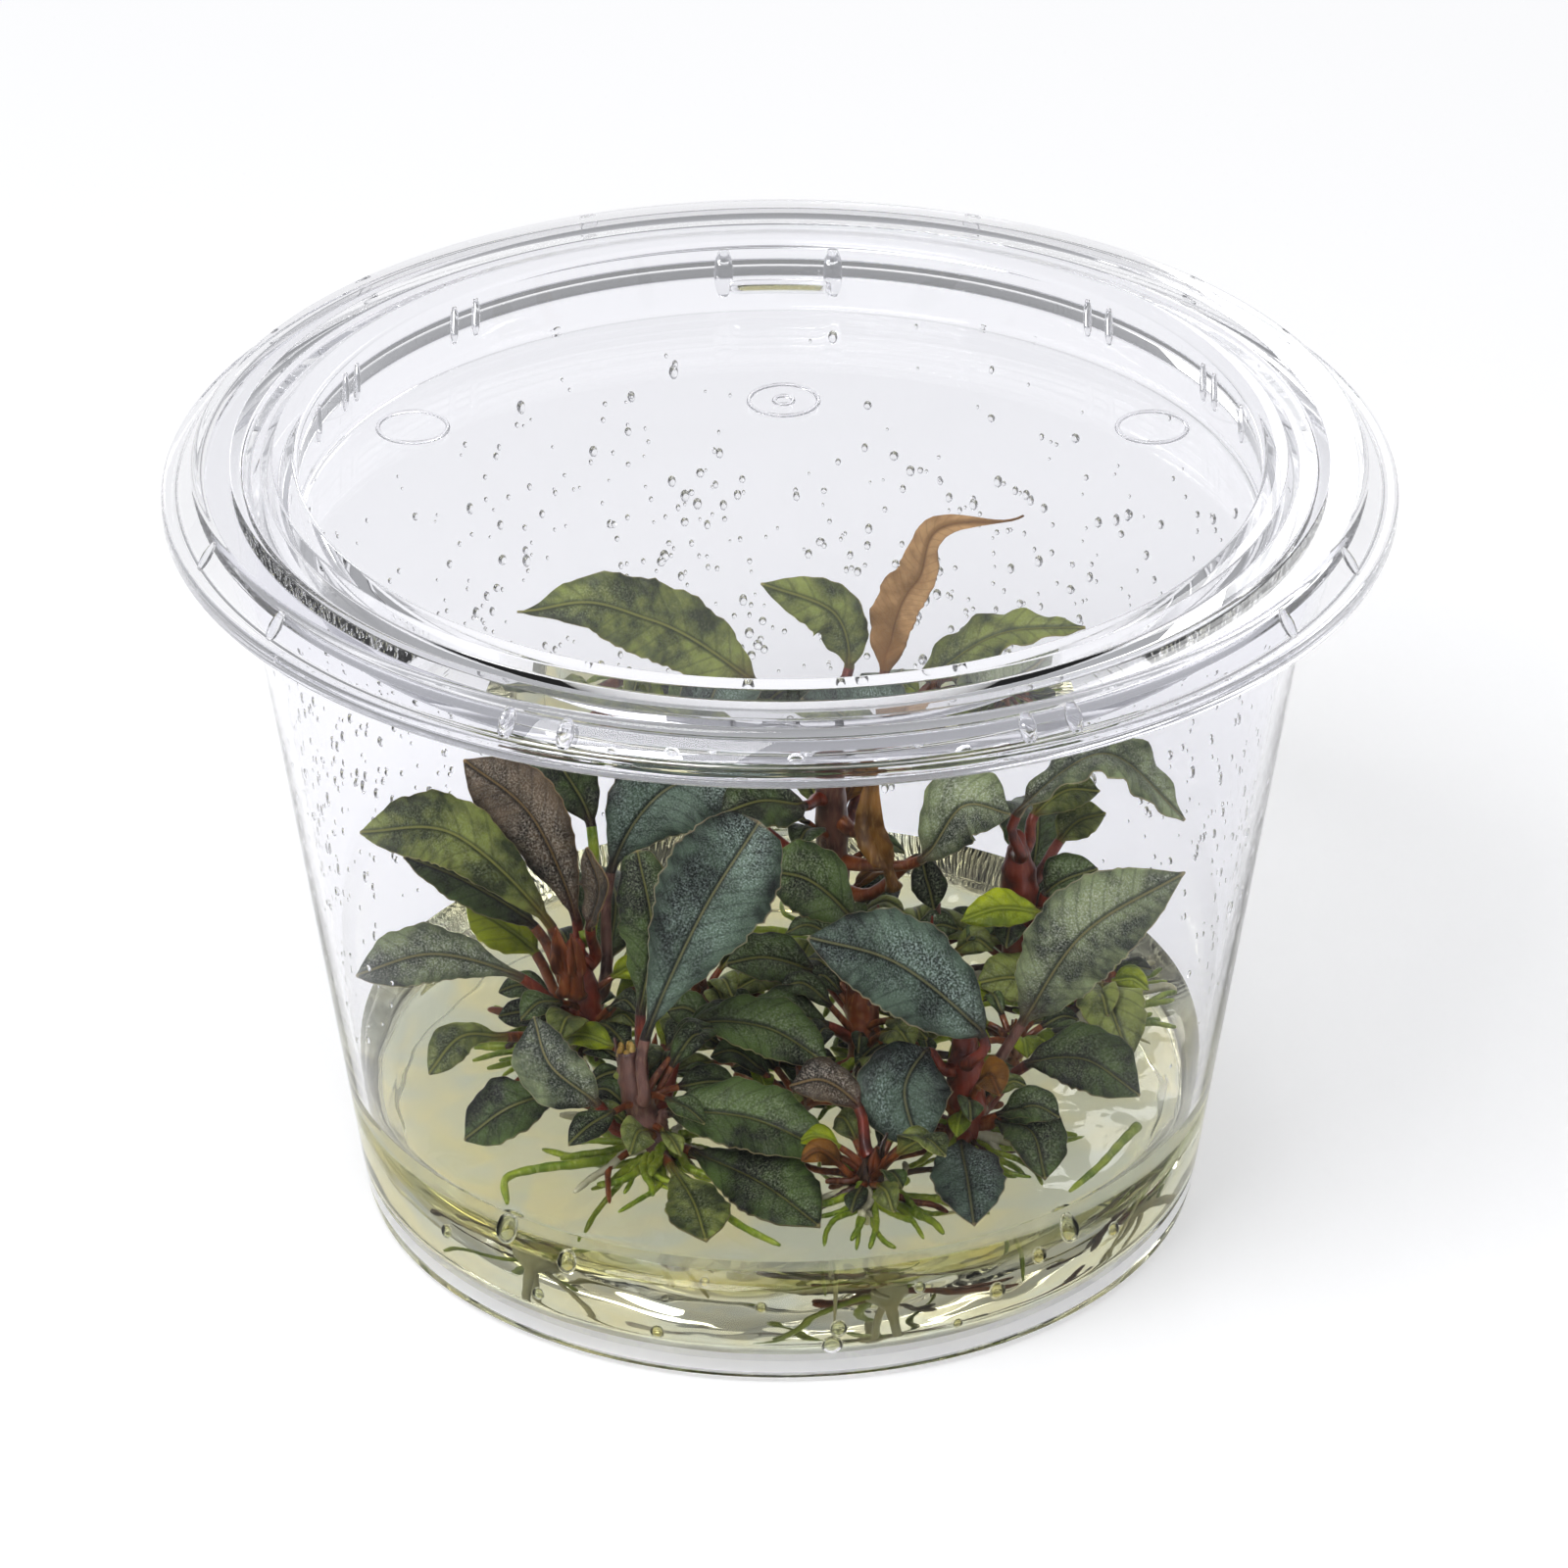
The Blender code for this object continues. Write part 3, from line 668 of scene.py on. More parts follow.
@dataclass
class Gel:
    """The poured gel with its meniscus and the gas bubbles set in it."""

    cup: Cup
    crowns: Sequence[Crown]
    meniscus: float = 0.6
    # How far the gel reaches into the plastic that it wets, so that no air shows between them.
    wetting: float = 0.07
    segments: int = 360
    rings: int = 56
    # Gas bubbles against the front wall: angle from the front, height and radius.
    bubbles: tuple[tuple[float, float, float], ...] = (
        (43.0, 8.3, 0.9), (37.5, 7.4, 0.66), (8.0, 4.6, 0.72), (7.2, 2.9, 0.9), (-30.0, 8.2, 0.84),
        (-40.0, 9.0, 0.96), (-17.0, 3.6, 0.6), (31.0, 5.4, 0.72), (-2.5, 7.0, 0.48), (19.0, 7.8, 0.48),
        (-35.0, 4.4, 0.54), (25.0, 3.4, 0.42), (52.0, 6.2, 0.6), (-52.0, 6.0, 0.6), (-10.0, 9.2, 0.42))

    def swell(self, x: float, y: float) -> float:
        """Rise of the gel's skin at a place: slow ripples, and a wet foot round each crown."""
        rise = noise.noise(Vector((x / 6.0, y / 6.0, 3.1))) * 0.18
        rise += noise.noise(Vector((x / 3.0, y / 3.0, 7.7))) * 0.08
        for crown in self.crowns:
            away = hypot(x - crown.points[1][0], y - crown.points[1][1])
            rise += 0.5 * exp(-max(away - 1.5, 0.0) / 0.9)
        return rise

    def build(self) -> Piece:
        """Turns the gel so that it wets the cup, ripples its top and sets the bubbles in it."""
        floor = self.cup.floor - self.wetting
        rim = GEL_TOP + self.meniscus
        edge = self.cup.inner(rim) + self.wetting
        rows = filleted([(0.0, floor, 0.0), (self.cup.inner(floor) - 1.6, floor, 1.2),
                         (self.cup.inner(3.4) + self.wetting, 3.4, 2.0), (edge, rim, 0.0)])
        rows += [(edge - out, GEL_TOP + self.meniscus * exp(-out * 1.7)) for out in (0.25, 0.6, 1.0, 1.6)]
        rows += [(max((edge - 1.6) * (1 - k / self.rings), 0.0), GEL_TOP)
                 for k in range(1, self.rings + 1)]
        shape = turned(rows, self.segments)
        for vert in shape.verts:
            x, y, z = (value / MM for value in vert.co)
            if z > GEL_TOP - 0.01 and hypot(x, y) < edge - 0.9:
                vert.co.z += self.swell(x, y) * MM
        for angle, height, radius in self.bubbles:
            centre = facing(angle)[0] * (self.cup.inner(height) - radius - 0.25) + UP * height
            ball = bmesh.ops.create_icosphere(shape, subdivisions=3, radius=radius * MM)["verts"]
            for vert in ball:
                vert.co += centre * MM
            faces = {face for vert in ball for face in vert.link_faces}
            bmesh.ops.reverse_faces(shape, faces=list(faces))
        return place(shape, "gel_pour", "agar_gel", "gel", AgarGel())


@dataclass
class Condensation:
    """Beads of water on the inside of the cup."""

    cup: Cup
    count: int = 1150
    chance: random.Random = field(default_factory=lambda: random.Random(11))
    # Bigger beads in a row under the lid's front, by degrees from the front.
    row: tuple[float, ...] = (-24, -17, -11, -7, -3.5, 1, 3, 7, 10, 14, 19, 24)

    def density(self, angle: float, height: float) -> float:
        """Share of beads kept at a place; the patch behind the lid's middle mark stays dry."""
        back = min(abs(angle) / 180.0, 1.0)
        if back > 0.972 and abs(height - 51.6) < 3.2:
            return 0.0
        band = exp(-((height - 34.0) / 15.0) ** 2)
        return band * (0.008 + 0.992 * min(max((back - 0.3) / 0.25, 0.0), 1.0))

    def add_bead(self, shape: Mesh, angle: float, height: float, size: float, tall: float) -> None:
        """Adds one bead, a low cap with its foot in the wall.

        Args:
            shape: The beads' mesh.
            angle: Degrees from the front.
            height: Height in millimetres.
            size: Its half width in millimetres.
            tall: Its height over its width.
        """
        slope = atan(self.cup.taper)
        out, side = facing(angle)
        up = UP * cos(slope) + out * sin(slope)
        centre = out * (self.cup.inner(height) + 0.04) + UP * height
        rings: Rings = []
        for share in (1.0, 0.95, 0.75, 0.45, 0.12):
            depth = size * 0.45 * sqrt(max(1 - share * share, 0.0)) + (0.06 if share < 1 else 0.0)
            foot = centre - out * depth - up * (size * tall * 0.18 * (1 - share))
            rings.append([foot + side * (size * share * c) + up * (size * tall * share * s)
                          for c, s in circle(10)])
        add_rings(shape, rings)

    def build(self) -> Piece:
        """Scatters the beads."""
        shape = bmesh.new()
        placed = 0
        while placed < self.count:
            angle, height = self.chance.uniform(-180.0, 180.0), self.chance.uniform(15.0, 59.0)
            if self.chance.random() <= self.density(angle, height):
                size = 0.12 + 0.3 * self.chance.random() ** 2.2
                self.add_bead(shape, angle, height, size, self.chance.uniform(1.0, 1.6))
                placed += 1
        for angle in self.row:
            self.add_bead(shape, angle + self.chance.uniform(-1, 1), self.chance.uniform(61.0, 63.5),
                          self.chance.uniform(0.4, 0.75), 1.0)
        return place(outward(shape), "condensation_beads", "clear_plastic", "", WaterDrops())


# ---- The plants ----


@dataclass
class Blade:
    """A leaf or bract: its spine, width and facing, and how its margins wave and curl."""

    # Foot, neck, middle and tip.
    spots: tuple[float, ...]
    width: float
    bearing: float
    rise: float
    widest: float = 0.5
    petiole: float = 0.45
    thickness: float = 0.34
    keel: float = 0.16
    wave: float = 0.28
    curl: float = 0.0
    point: float = 0.2
    teeth: float = 0.03
    lean: float = 0.0
    arch: float = 0.0
    seed: int = 0
    root: Vector | None = None
    bulge: float = 0.1
    wave_mm: float = 3.4
    across: tuple[float, ...] = (1.0, 0.985, 0.94, 0.85, 0.72, 0.56, 0.4, 0.25, 0.12, 0.05, 0.0)

    def half_width(self, share: float) -> float:
        """Half width at a share of the blade's length, without its waves."""
        full = sin(pi * share ** (log(0.5) / log(self.widest)))
        pointed = 0.72 + self.point * share ** 4 + 0.2 * (1 - share) ** 4
        return max(self.width / 2 * max(full, 0.0) ** pointed, self.petiole * (1 - 0.8 * share))

    def ring(self, point: Vector, side: Vector, up: Vector, position: float, length: float
             ) -> tuple[list[Vector], list[tuple[float, ...]]]:
        """One ring round the petiole, which clasps the stem at its root, or round the blade.

        Args:
            point: Its centre on the spine.
            side: Unit vector to one margin.
            up: Unit vector off the upper face.
            position: 0 at the root, 2 at the neck, 4 at the tip.
            length: The blade's length.

        Returns:
            The ring's points, and for each its share across, share along, and both in millimetres.
        """
        share = (position - 2) / 2
        at = max(share, 0.0)
        grown = min(1.0, at / 0.12)
        half = self.petiole * (1.0 + 0.75 * share ** 2) if share < 0 else self.half_width(at)
        wave = tau * at * length / self.wave_mm
        loop = [(u, 1) for u in (*self.across, *(-u for u in self.across[-2::-1]))]
        loop += [(u, -1) for u, _ in loop[-2:0:-1]]
        points, marks = [], []
        for u, face in loop:
            size = abs(u)
            ripple = sin(wave + self.seed + (2.1 if u > 0 else 0.0))
            crimp = sin(wave / 0.37 + self.seed * 1.7 + u)
            edge = size ** 2.4 * grown * sin(pi * min(at + 0.04, 1.0)) ** 0.4
            reach = u * half * (1 + edge * self.teeth * (crimp + 0.8 * ripple))
            rise = half * (self.keel * size ** 1.2 + self.curl * size ** 3) * grown
            rise += half * self.bulge * sin(pi * size) * grown + edge * self.wave * ripple
            round_section = sqrt(max(1 - size * size, 0.0))
            thick = self.thickness * (0.35 + 0.65 * round_section) if size < 1 else 0.0
            body = thick * grown + 2 * half * round_section * (1 - grown)
            groove = exp(-((reach / 0.22) ** 2)) * 0.16 * grown * (1 - at)
            points.append(point + side * reach + up * (rise - groove + face * body / 2))
            marks.append((u, share, reach, share * length))
        return points, marks

    def add_to(self, shape: Mesh, finishes: tuple[int, int] = (0, 1), steps: tuple[int, int] = (8, 44)
               ) -> None:
        """Adds the blade to a mesh, with its share and grain coordinates.

        Args:
            shape: The mesh.
            finishes: Material numbers of the blade and the petiole.
            steps: Rings from root to neck, and from neck to tip.
        """
        foot, neck, middle, tip = (Vector(self.spots[i:i + 3]) for i in (0, 3, 6, 9))
        root = foot + (foot - neck) * 0.3 if self.root is None else self.root
        lift = radians(self.rise)
        aligned = facing(self.bearing)[0] * cos(lift) + UP * sin(lift)
        stations = [2 * k / steps[0] for k in range(steps[0])]
        stations += [2 + 2 * k / steps[1] for k in range(steps[1] + 1)]
        points = [along_spine((root, foot, neck, middle, tip), position)
                  + Vector((self.lean, 0.0, self.arch)) * sin(pi * max(position - 3, 0.0)) ** 2
                  for position in stations]
        length = sum((b - a).length for a, b in zip(points[steps[0]:], points[steps[0] + 1:]))
        rings, shares = [], []
        for index, (point, position) in enumerate(zip(points, stations)):
            ahead = points[min(index + 1, len(points) - 1)]
            along = (ahead - points[max(index - 1, 0)]).normalized()
            up = (aligned - along * aligned.dot(along)).normalized()
            ring, marked = self.ring(point, along.cross(up), up, position, length)
            rings.append(ring)
            shares.append(marked)
        rows = add_rings(shape, rings, finishes[0])
        share_layer, grain_layer = (shape.loops.layers.uv.get(name) or shape.loops.layers.uv.new(name)
                                    for name in ("share", "grain"))
        marks = {vert: mark for row, at in zip(rows, shares) for vert, mark in zip(row, at)}
        low = {vert for row in rows[:steps[0]] for vert in row}
        for face in {face for vert in marks for face in vert.link_faces}:
            if not low.isdisjoint(face.verts):
                face.material_index = finishes[1]
            for loop in face.loops:
                across, along, across_mm, along_mm = marks[loop.vert]
                loop[share_layer].uv = (across, along)
                loop[grain_layer].uv = (across_mm, along_mm)


@dataclass
class Crown:
    """A crown: its stem, leaf scars, sheaths and the root plug in the gel."""

    node: str
    # Centre and radius of the stem, from the root end up.
    points: tuple[tuple[float, float, float, float], ...]
    bark: Bark = Bark.CRIMSON
    seed: int = 1
    bracts: tuple[Blade, ...] = ()
    bract_bark: Bark = Bark.RUST
    cut_top: bool = False
    # Rings from one point to the next, and millimetres from one leaf scar to the next.
    steps: int = 14
    scar_mm: float = 1.9

    def at(self, position: float) -> Vector:
        """The stem's centre at a position: 0 at the root end, 1 at the next point and so on."""
        return along_spine([Vector(point[:3]) for point in self.points], position)

    def seat(self, foot: Vector) -> Vector:
        """Finds where a petiole comes out of the stem.

        Args:
            foot: The petiole's foot.

        Returns:
            A point just under the stem's skin, a little lower than the foot.
        """
        spots = [self.at(k * (len(self.points) - 1) / 40) for k in range(12, 41)]
        near = min(spots, key=lambda spot: (spot - foot).length + abs(spot.z + 1.2 - foot.z))
        return near + (foot - near) * min(0.6 / max((foot - near).length, 0.6), 1.0)

    def build(self) -> Piece:
        """Builds the stem with a ring at each old leaf scar, slim below the gel, then its sheaths."""
        last = len(self.points) - 1
        centres, radii = [], []
        for k in range(self.steps * last + 1):
            index = min(k // self.steps, last - 1)
            share = k / self.steps - index
            ease = share * share * (3 - 2 * share)
            radius = self.points[index][3] * (1 - ease) + self.points[index + 1][3] * ease
            centre = self.at(k / self.steps)
            scar = fmod(centre.z + self.seed, self.scar_mm) - self.scar_mm / 2
            thin = min(max(1 - (GEL_TOP - 0.3 - centre.z) / 2.2, 0.3), 1.0)
            radii.append(thin * radius * (0.95 + 0.09 * exp(-(scar / 0.22) ** 2)
                                          + 0.05 * noise.noise(centre * 0.9)))
            centres.append(centre)
        if not self.cut_top:
            for extra, shrink in ((0.25, 0.75), (0.4, 0.35)):
                centres.append(centres[-1] + (centres[-1] - centres[-2]).normalized() * extra)
                radii.append(radii[-1] * shrink)
        shape = bmesh.new()
        rings = tube_rings(centres, radii, 20)
        for ring, centre in zip(rings, centres):
            for point in ring:
                point += (point - centre) * (0.12 * noise.noise(point * 0.8 + Vector((self.seed, 0, 0))))
        add_rings(shape, rings)
        for face in shape.faces:
            if face.calc_center_median().z < (GEL_TOP + 0.2) * MM:
                face.material_index = 3
        if self.cut_top:
            # Torn pale pith stands on the cut.
            draw = random.Random(self.seed).uniform
            for number in range(6):
                start = centres[-1] + level(number * 2.4) * radii[-1] * 0.6
                lean = Vector((draw(-0.2, 0.2), draw(-0.2, 0.2), draw(0.3, 0.9)))
                path = [start - UP * 0.4, start + lean * 0.5, start + lean]
                add_rings(shape, tube_rings(path, (0.34, 0.28, 0.1)), 2)
        for bract in self.bracts:
            bract.add_to(shape, (1, 1), (2, 16))
        return place(outward(shape), self.node.removeprefix("crown_") + "_stem", "stem", self.node,
                     self.bark.value, self.bract_bark.value, Bark.STRAW.value, Bark.PALE.value)


@dataclass
class Leaf:
    """One leaf: its line in the table, and its number, which sets how its margin waves."""

    line: str
    number: int

    def build(self) -> Piece:
        """Reads the leaf from its line and builds it, with its petiole set in the nearest crown."""
        name, *words = self.line.split()
        sizes = [float(word) for word in words[:16]]
        tone, bark = Tone[words[16]], Bark[words[17]]
        more = {key: float(value) for key, value in (word.split("=") for word in words[18:])}
        foot = Vector(sizes[:3])
        root = min((crown.seat(foot) for crown in CROWNS), key=lambda spot: (spot - foot).length)
        shape = bmesh.new()
        Blade(tuple(sizes[:12]), *sizes[12:], seed=self.number, root=root, **more).add_to(shape)
        return place(outward(shape), name + "_leaf", "dry_leaf" if tone is Tone.DRY else "leaf",
                     "leaf_" + name, tone.value, bark.value)


@dataclass
class Undergrowth:
    """Young leaves and old sheaths that crowd the foot of every crown."""

    crowns: Sequence[Crown]
    chance: random.Random = field(default_factory=lambda: random.Random(23))
    leaves_each: int = 12
    sheaths_each: int = 7
    # Each leaf or sheath stands this many radians round from the one before: the golden angle.
    turn: float = 2.4
    barks: tuple[Bark, ...] = (Bark.RUST, Bark.CRIMSON, Bark.EARTH, Bark.STRAW, Bark.MAUVE)
    tones: tuple[Tone, ...] = (Tone.DARK, Tone.OLIVE, Tone.LIME, Tone.AMBER)

    def young_leaf(self, crown: Crown, number: int) -> Blade:
        """Draws one small leaf that leans out from the lower half of a crown.

        Args:
            crown: The crown.
            number: The leaf's number on it.

        Returns:
            Its blade.
        """
        draw = self.chance.uniform
        centre = crown.at(1 + (len(crown.points) - 2) * 0.45 * self.chance.random() ** 1.5)
        out = level(number * self.turn + draw(-0.4, 0.4))
        reach = draw(3.8, 7.6)
        lift = reach * draw(-0.1, 1.0)
        start = centre + out + UP * draw(0.3, 2.0)
        neck, middle, tip = (start + out * reach * far + UP * (lift * high + more) for far, high, more in (
            (0.3, 0.35, 0.3), (0.68, 0.7, 0.3), (1.0, 0.7, -0.4)))
        tip.z = max(tip.z, GEL_TOP + 1.2)
        return Blade((*start, *neck, *middle, *tip), reach * draw(0.36, 0.52), draw(-60.0, 60.0),
                     draw(45.0, 80.0), 0.5, 0.28, 0.24, seed=number, wave=0.2, root=centre,
                     across=(1.0, 0.93, 0.7, 0.4, 0.12, 0.0))

    def sheath(self, crown: Crown, number: int) -> Blade:
        """Draws one old leaf sheath that hugs a crown's stem.

        Args:
            crown: The crown.
            number: The sheath's number on it.

        Returns:
            Its blade.
        """
        draw = self.chance.uniform
        at = 1 + (len(crown.points) - 2) * (number / self.sheaths_each) ** 1.4 * 0.9
        centre = crown.at(at)
        along = (crown.at(at + 0.1) - centre).normalized()
        radius = crown.points[1][3] * (1.2 - 0.2 * at)
        out = level(number * self.turn + crown.seed)
        length = draw(1.8, 3.6)
        start = centre + out * (radius * 0.55)
        neck = start + along * (length * 0.2) + out * 0.3
        middle = start + along * (length * 0.6) + out * 0.3
        tip = start + along * length + out * draw(0.0, 0.6)
        return Blade((*start, *neck, *middle, *tip), radius * draw(0.8, 1.3),
                     degrees(atan2(out.x, -out.y)), draw(5.0, 25.0), 0.3, 0.35, 0.22, -0.3,
                     seed=number, wave=0.06)

    def build(self) -> None:
        """Builds the young leaves, a piece for each colour, and the sheaths."""
        shapes = [bmesh.new() for _ in self.tones]
        sheaths = bmesh.new()
        for crown in self.crowns:
            for number in range(self.leaves_each):
                blade = self.young_leaf(crown, number)
                blade.add_to(shapes[self.chance.choice((0, 0, 0, 0, 1, 1, 1, 2, 3))], steps=(4, 14))
            own = self.barks.index(crown.bark)
            for number in range(self.sheaths_each):
                kind = self.chance.choice((0, own, own, 2, 2, 3) if number < 4 else (own, own, own, 4))
                self.sheath(crown, number).add_to(sheaths, (kind, kind), (2, 9))
        for tone, shape in zip(self.tones, shapes):
            name = f"young_leaves_{tone.name.lower()}"
            place(outward(shape), name, "leaf", "", tone.value, Bark.RUST.value)
        place(outward(sheaths), "old_sheaths", "stem", "", *(bark.value for bark in self.barks))


@dataclass
class Roots:
    """Roots: the green runners over the gel, and the thin ones that spread through it."""

    cup: Cup
    crowns: Sequence[Crown]
    chance: random.Random = field(default_factory=lambda: random.Random(5))
    # Each runner's name, its radius at the crown, and the points that it creeps through.
    runners: tuple[tuple[str, float, tuple[tuple[float, float, float], ...]], ...] = (
        ("left", 0.45, ((-12.8, -20.6, 12.8), (-16.0, -21.4, 12.7), (-19.5, -22.3, 12.8),
                        (-22.2, -23.5, 12.6), (-22.0, -27.0, 12.4))),
        ("front", 0.4, ((-8.0, -24.0, 12.6), (-5.3, -27.7, 12.5), (-3.0, -30.8, 12.5), (0.0, -33.6, 12.5))),
        ("right", 0.4, ((29.3, -15.6, 12.8), (27.8, -18.0, 12.6), (26.0, -21.6, 12.7), (23.4, -25.6, 12.7))))

    def add_root(self, shape: Mesh, path: Sequence[Vector], radius: float, finish: int, sides: int = 8
                 ) -> None:
        """Adds one tapering root along a smooth path.

        Args:
            shape: The mesh.
            path: Points from the crown outwards.
            radius: Radius at the crown.
            finish: Material number.
            sides: Points on each ring.
        """
        steps = 6 * (len(path) - 1)
        centres = [along_spine(path, k / 6) for k in range(steps + 1)]
        radii = [radius * (1 - 0.35 * k / steps) * (1 + 0.08 * sin(k * 1.9)) for k in range(steps + 1)]
        radii[-1] *= 0.45
        radii[-2] *= 0.85
        add_rings(shape, tube_rings(centres, radii, sides), finish)

    def wander(self, start: Vector, heading: float, sink: float, stride: float) -> list[Vector]:
        """Draws a root's path that turns a little at each step and stays in the cup.

        Args:
            start: Where it leaves the crown.
            heading: Its first direction round Z, in radians.
            sink: How far it falls at each step.
            stride: Length of each step.

        Returns:
            Its points.
        """
        path = [start]
        for _ in range(4):
            heading += self.chance.uniform(-0.6, 0.6)
            point = path[-1] + level(heading) * stride - UP * (sink * self.chance.uniform(0.4, 1.4))
            point.z = max(point.z, 3.0)
            limit = self.cup.inner(point.z) - 1.2
            if hypot(point.x, point.y) > limit:
                point.xy = point.xy.normalized() * limit
            path.append(point)
        return path

    def build(self) -> None:
        """Builds the runners, then in one piece the short green roots and the pale ones in the gel."""
        for name, radius, points in self.runners:
            shape = bmesh.new()
            self.add_root(shape, [Vector(point) for point in points], radius, 0, 12)
            place(outward(shape), name + "_runner_root", "green_root", "root_" + name, Bark.GREEN.value)
        draw, choice = self.chance.uniform, self.chance.choice
        shape = bmesh.new()
        for crown in self.crowns:
            foot = Vector((*crown.points[1][:2], 0.0))
            for _ in range(26):
                turn = draw(0, tau)
                start = foot + level(turn) * 0.9 + UP * (GEL_TOP + 0.5 + draw(-0.2, 1.4))
                path = self.wander(start, turn, choice((0.05, 0.1, 0.3)), choice((0.7, 1.1, 1.6, 2.3)))
                self.add_root(shape, path, draw(0.28, 0.55), choice((0, 0, 0, 1, 2, 3)))
            outwards = atan2(foot.y, foot.x)
            for _ in range(12):
                turn = outwards + draw(-1.3, 1.3)
                start = foot + level(turn) * 1.2 + UP * (GEL_TOP + 0.6 + draw(-0.1, 0.5))
                self.add_root(shape, self.wander(start, turn, 0.08, draw(1.2, 2.4)), draw(0.26, 0.44), 0)
            for _ in range(3):
                turn = draw(0, tau)
                path = self.wander(foot + level(turn) * 0.6 + UP * (GEL_TOP - 0.2), turn, 1.2, draw(1.2, 2.6))
                self.add_root(shape, path, draw(0.2, 0.36), choice((0, 1, 1)))
        barks = (Bark.GREEN, Bark.PALE, Bark.EARTH, Bark.RUST)
        place(outward(shape), "fine_roots", "green_root", "", *(bark.value for bark in barks))


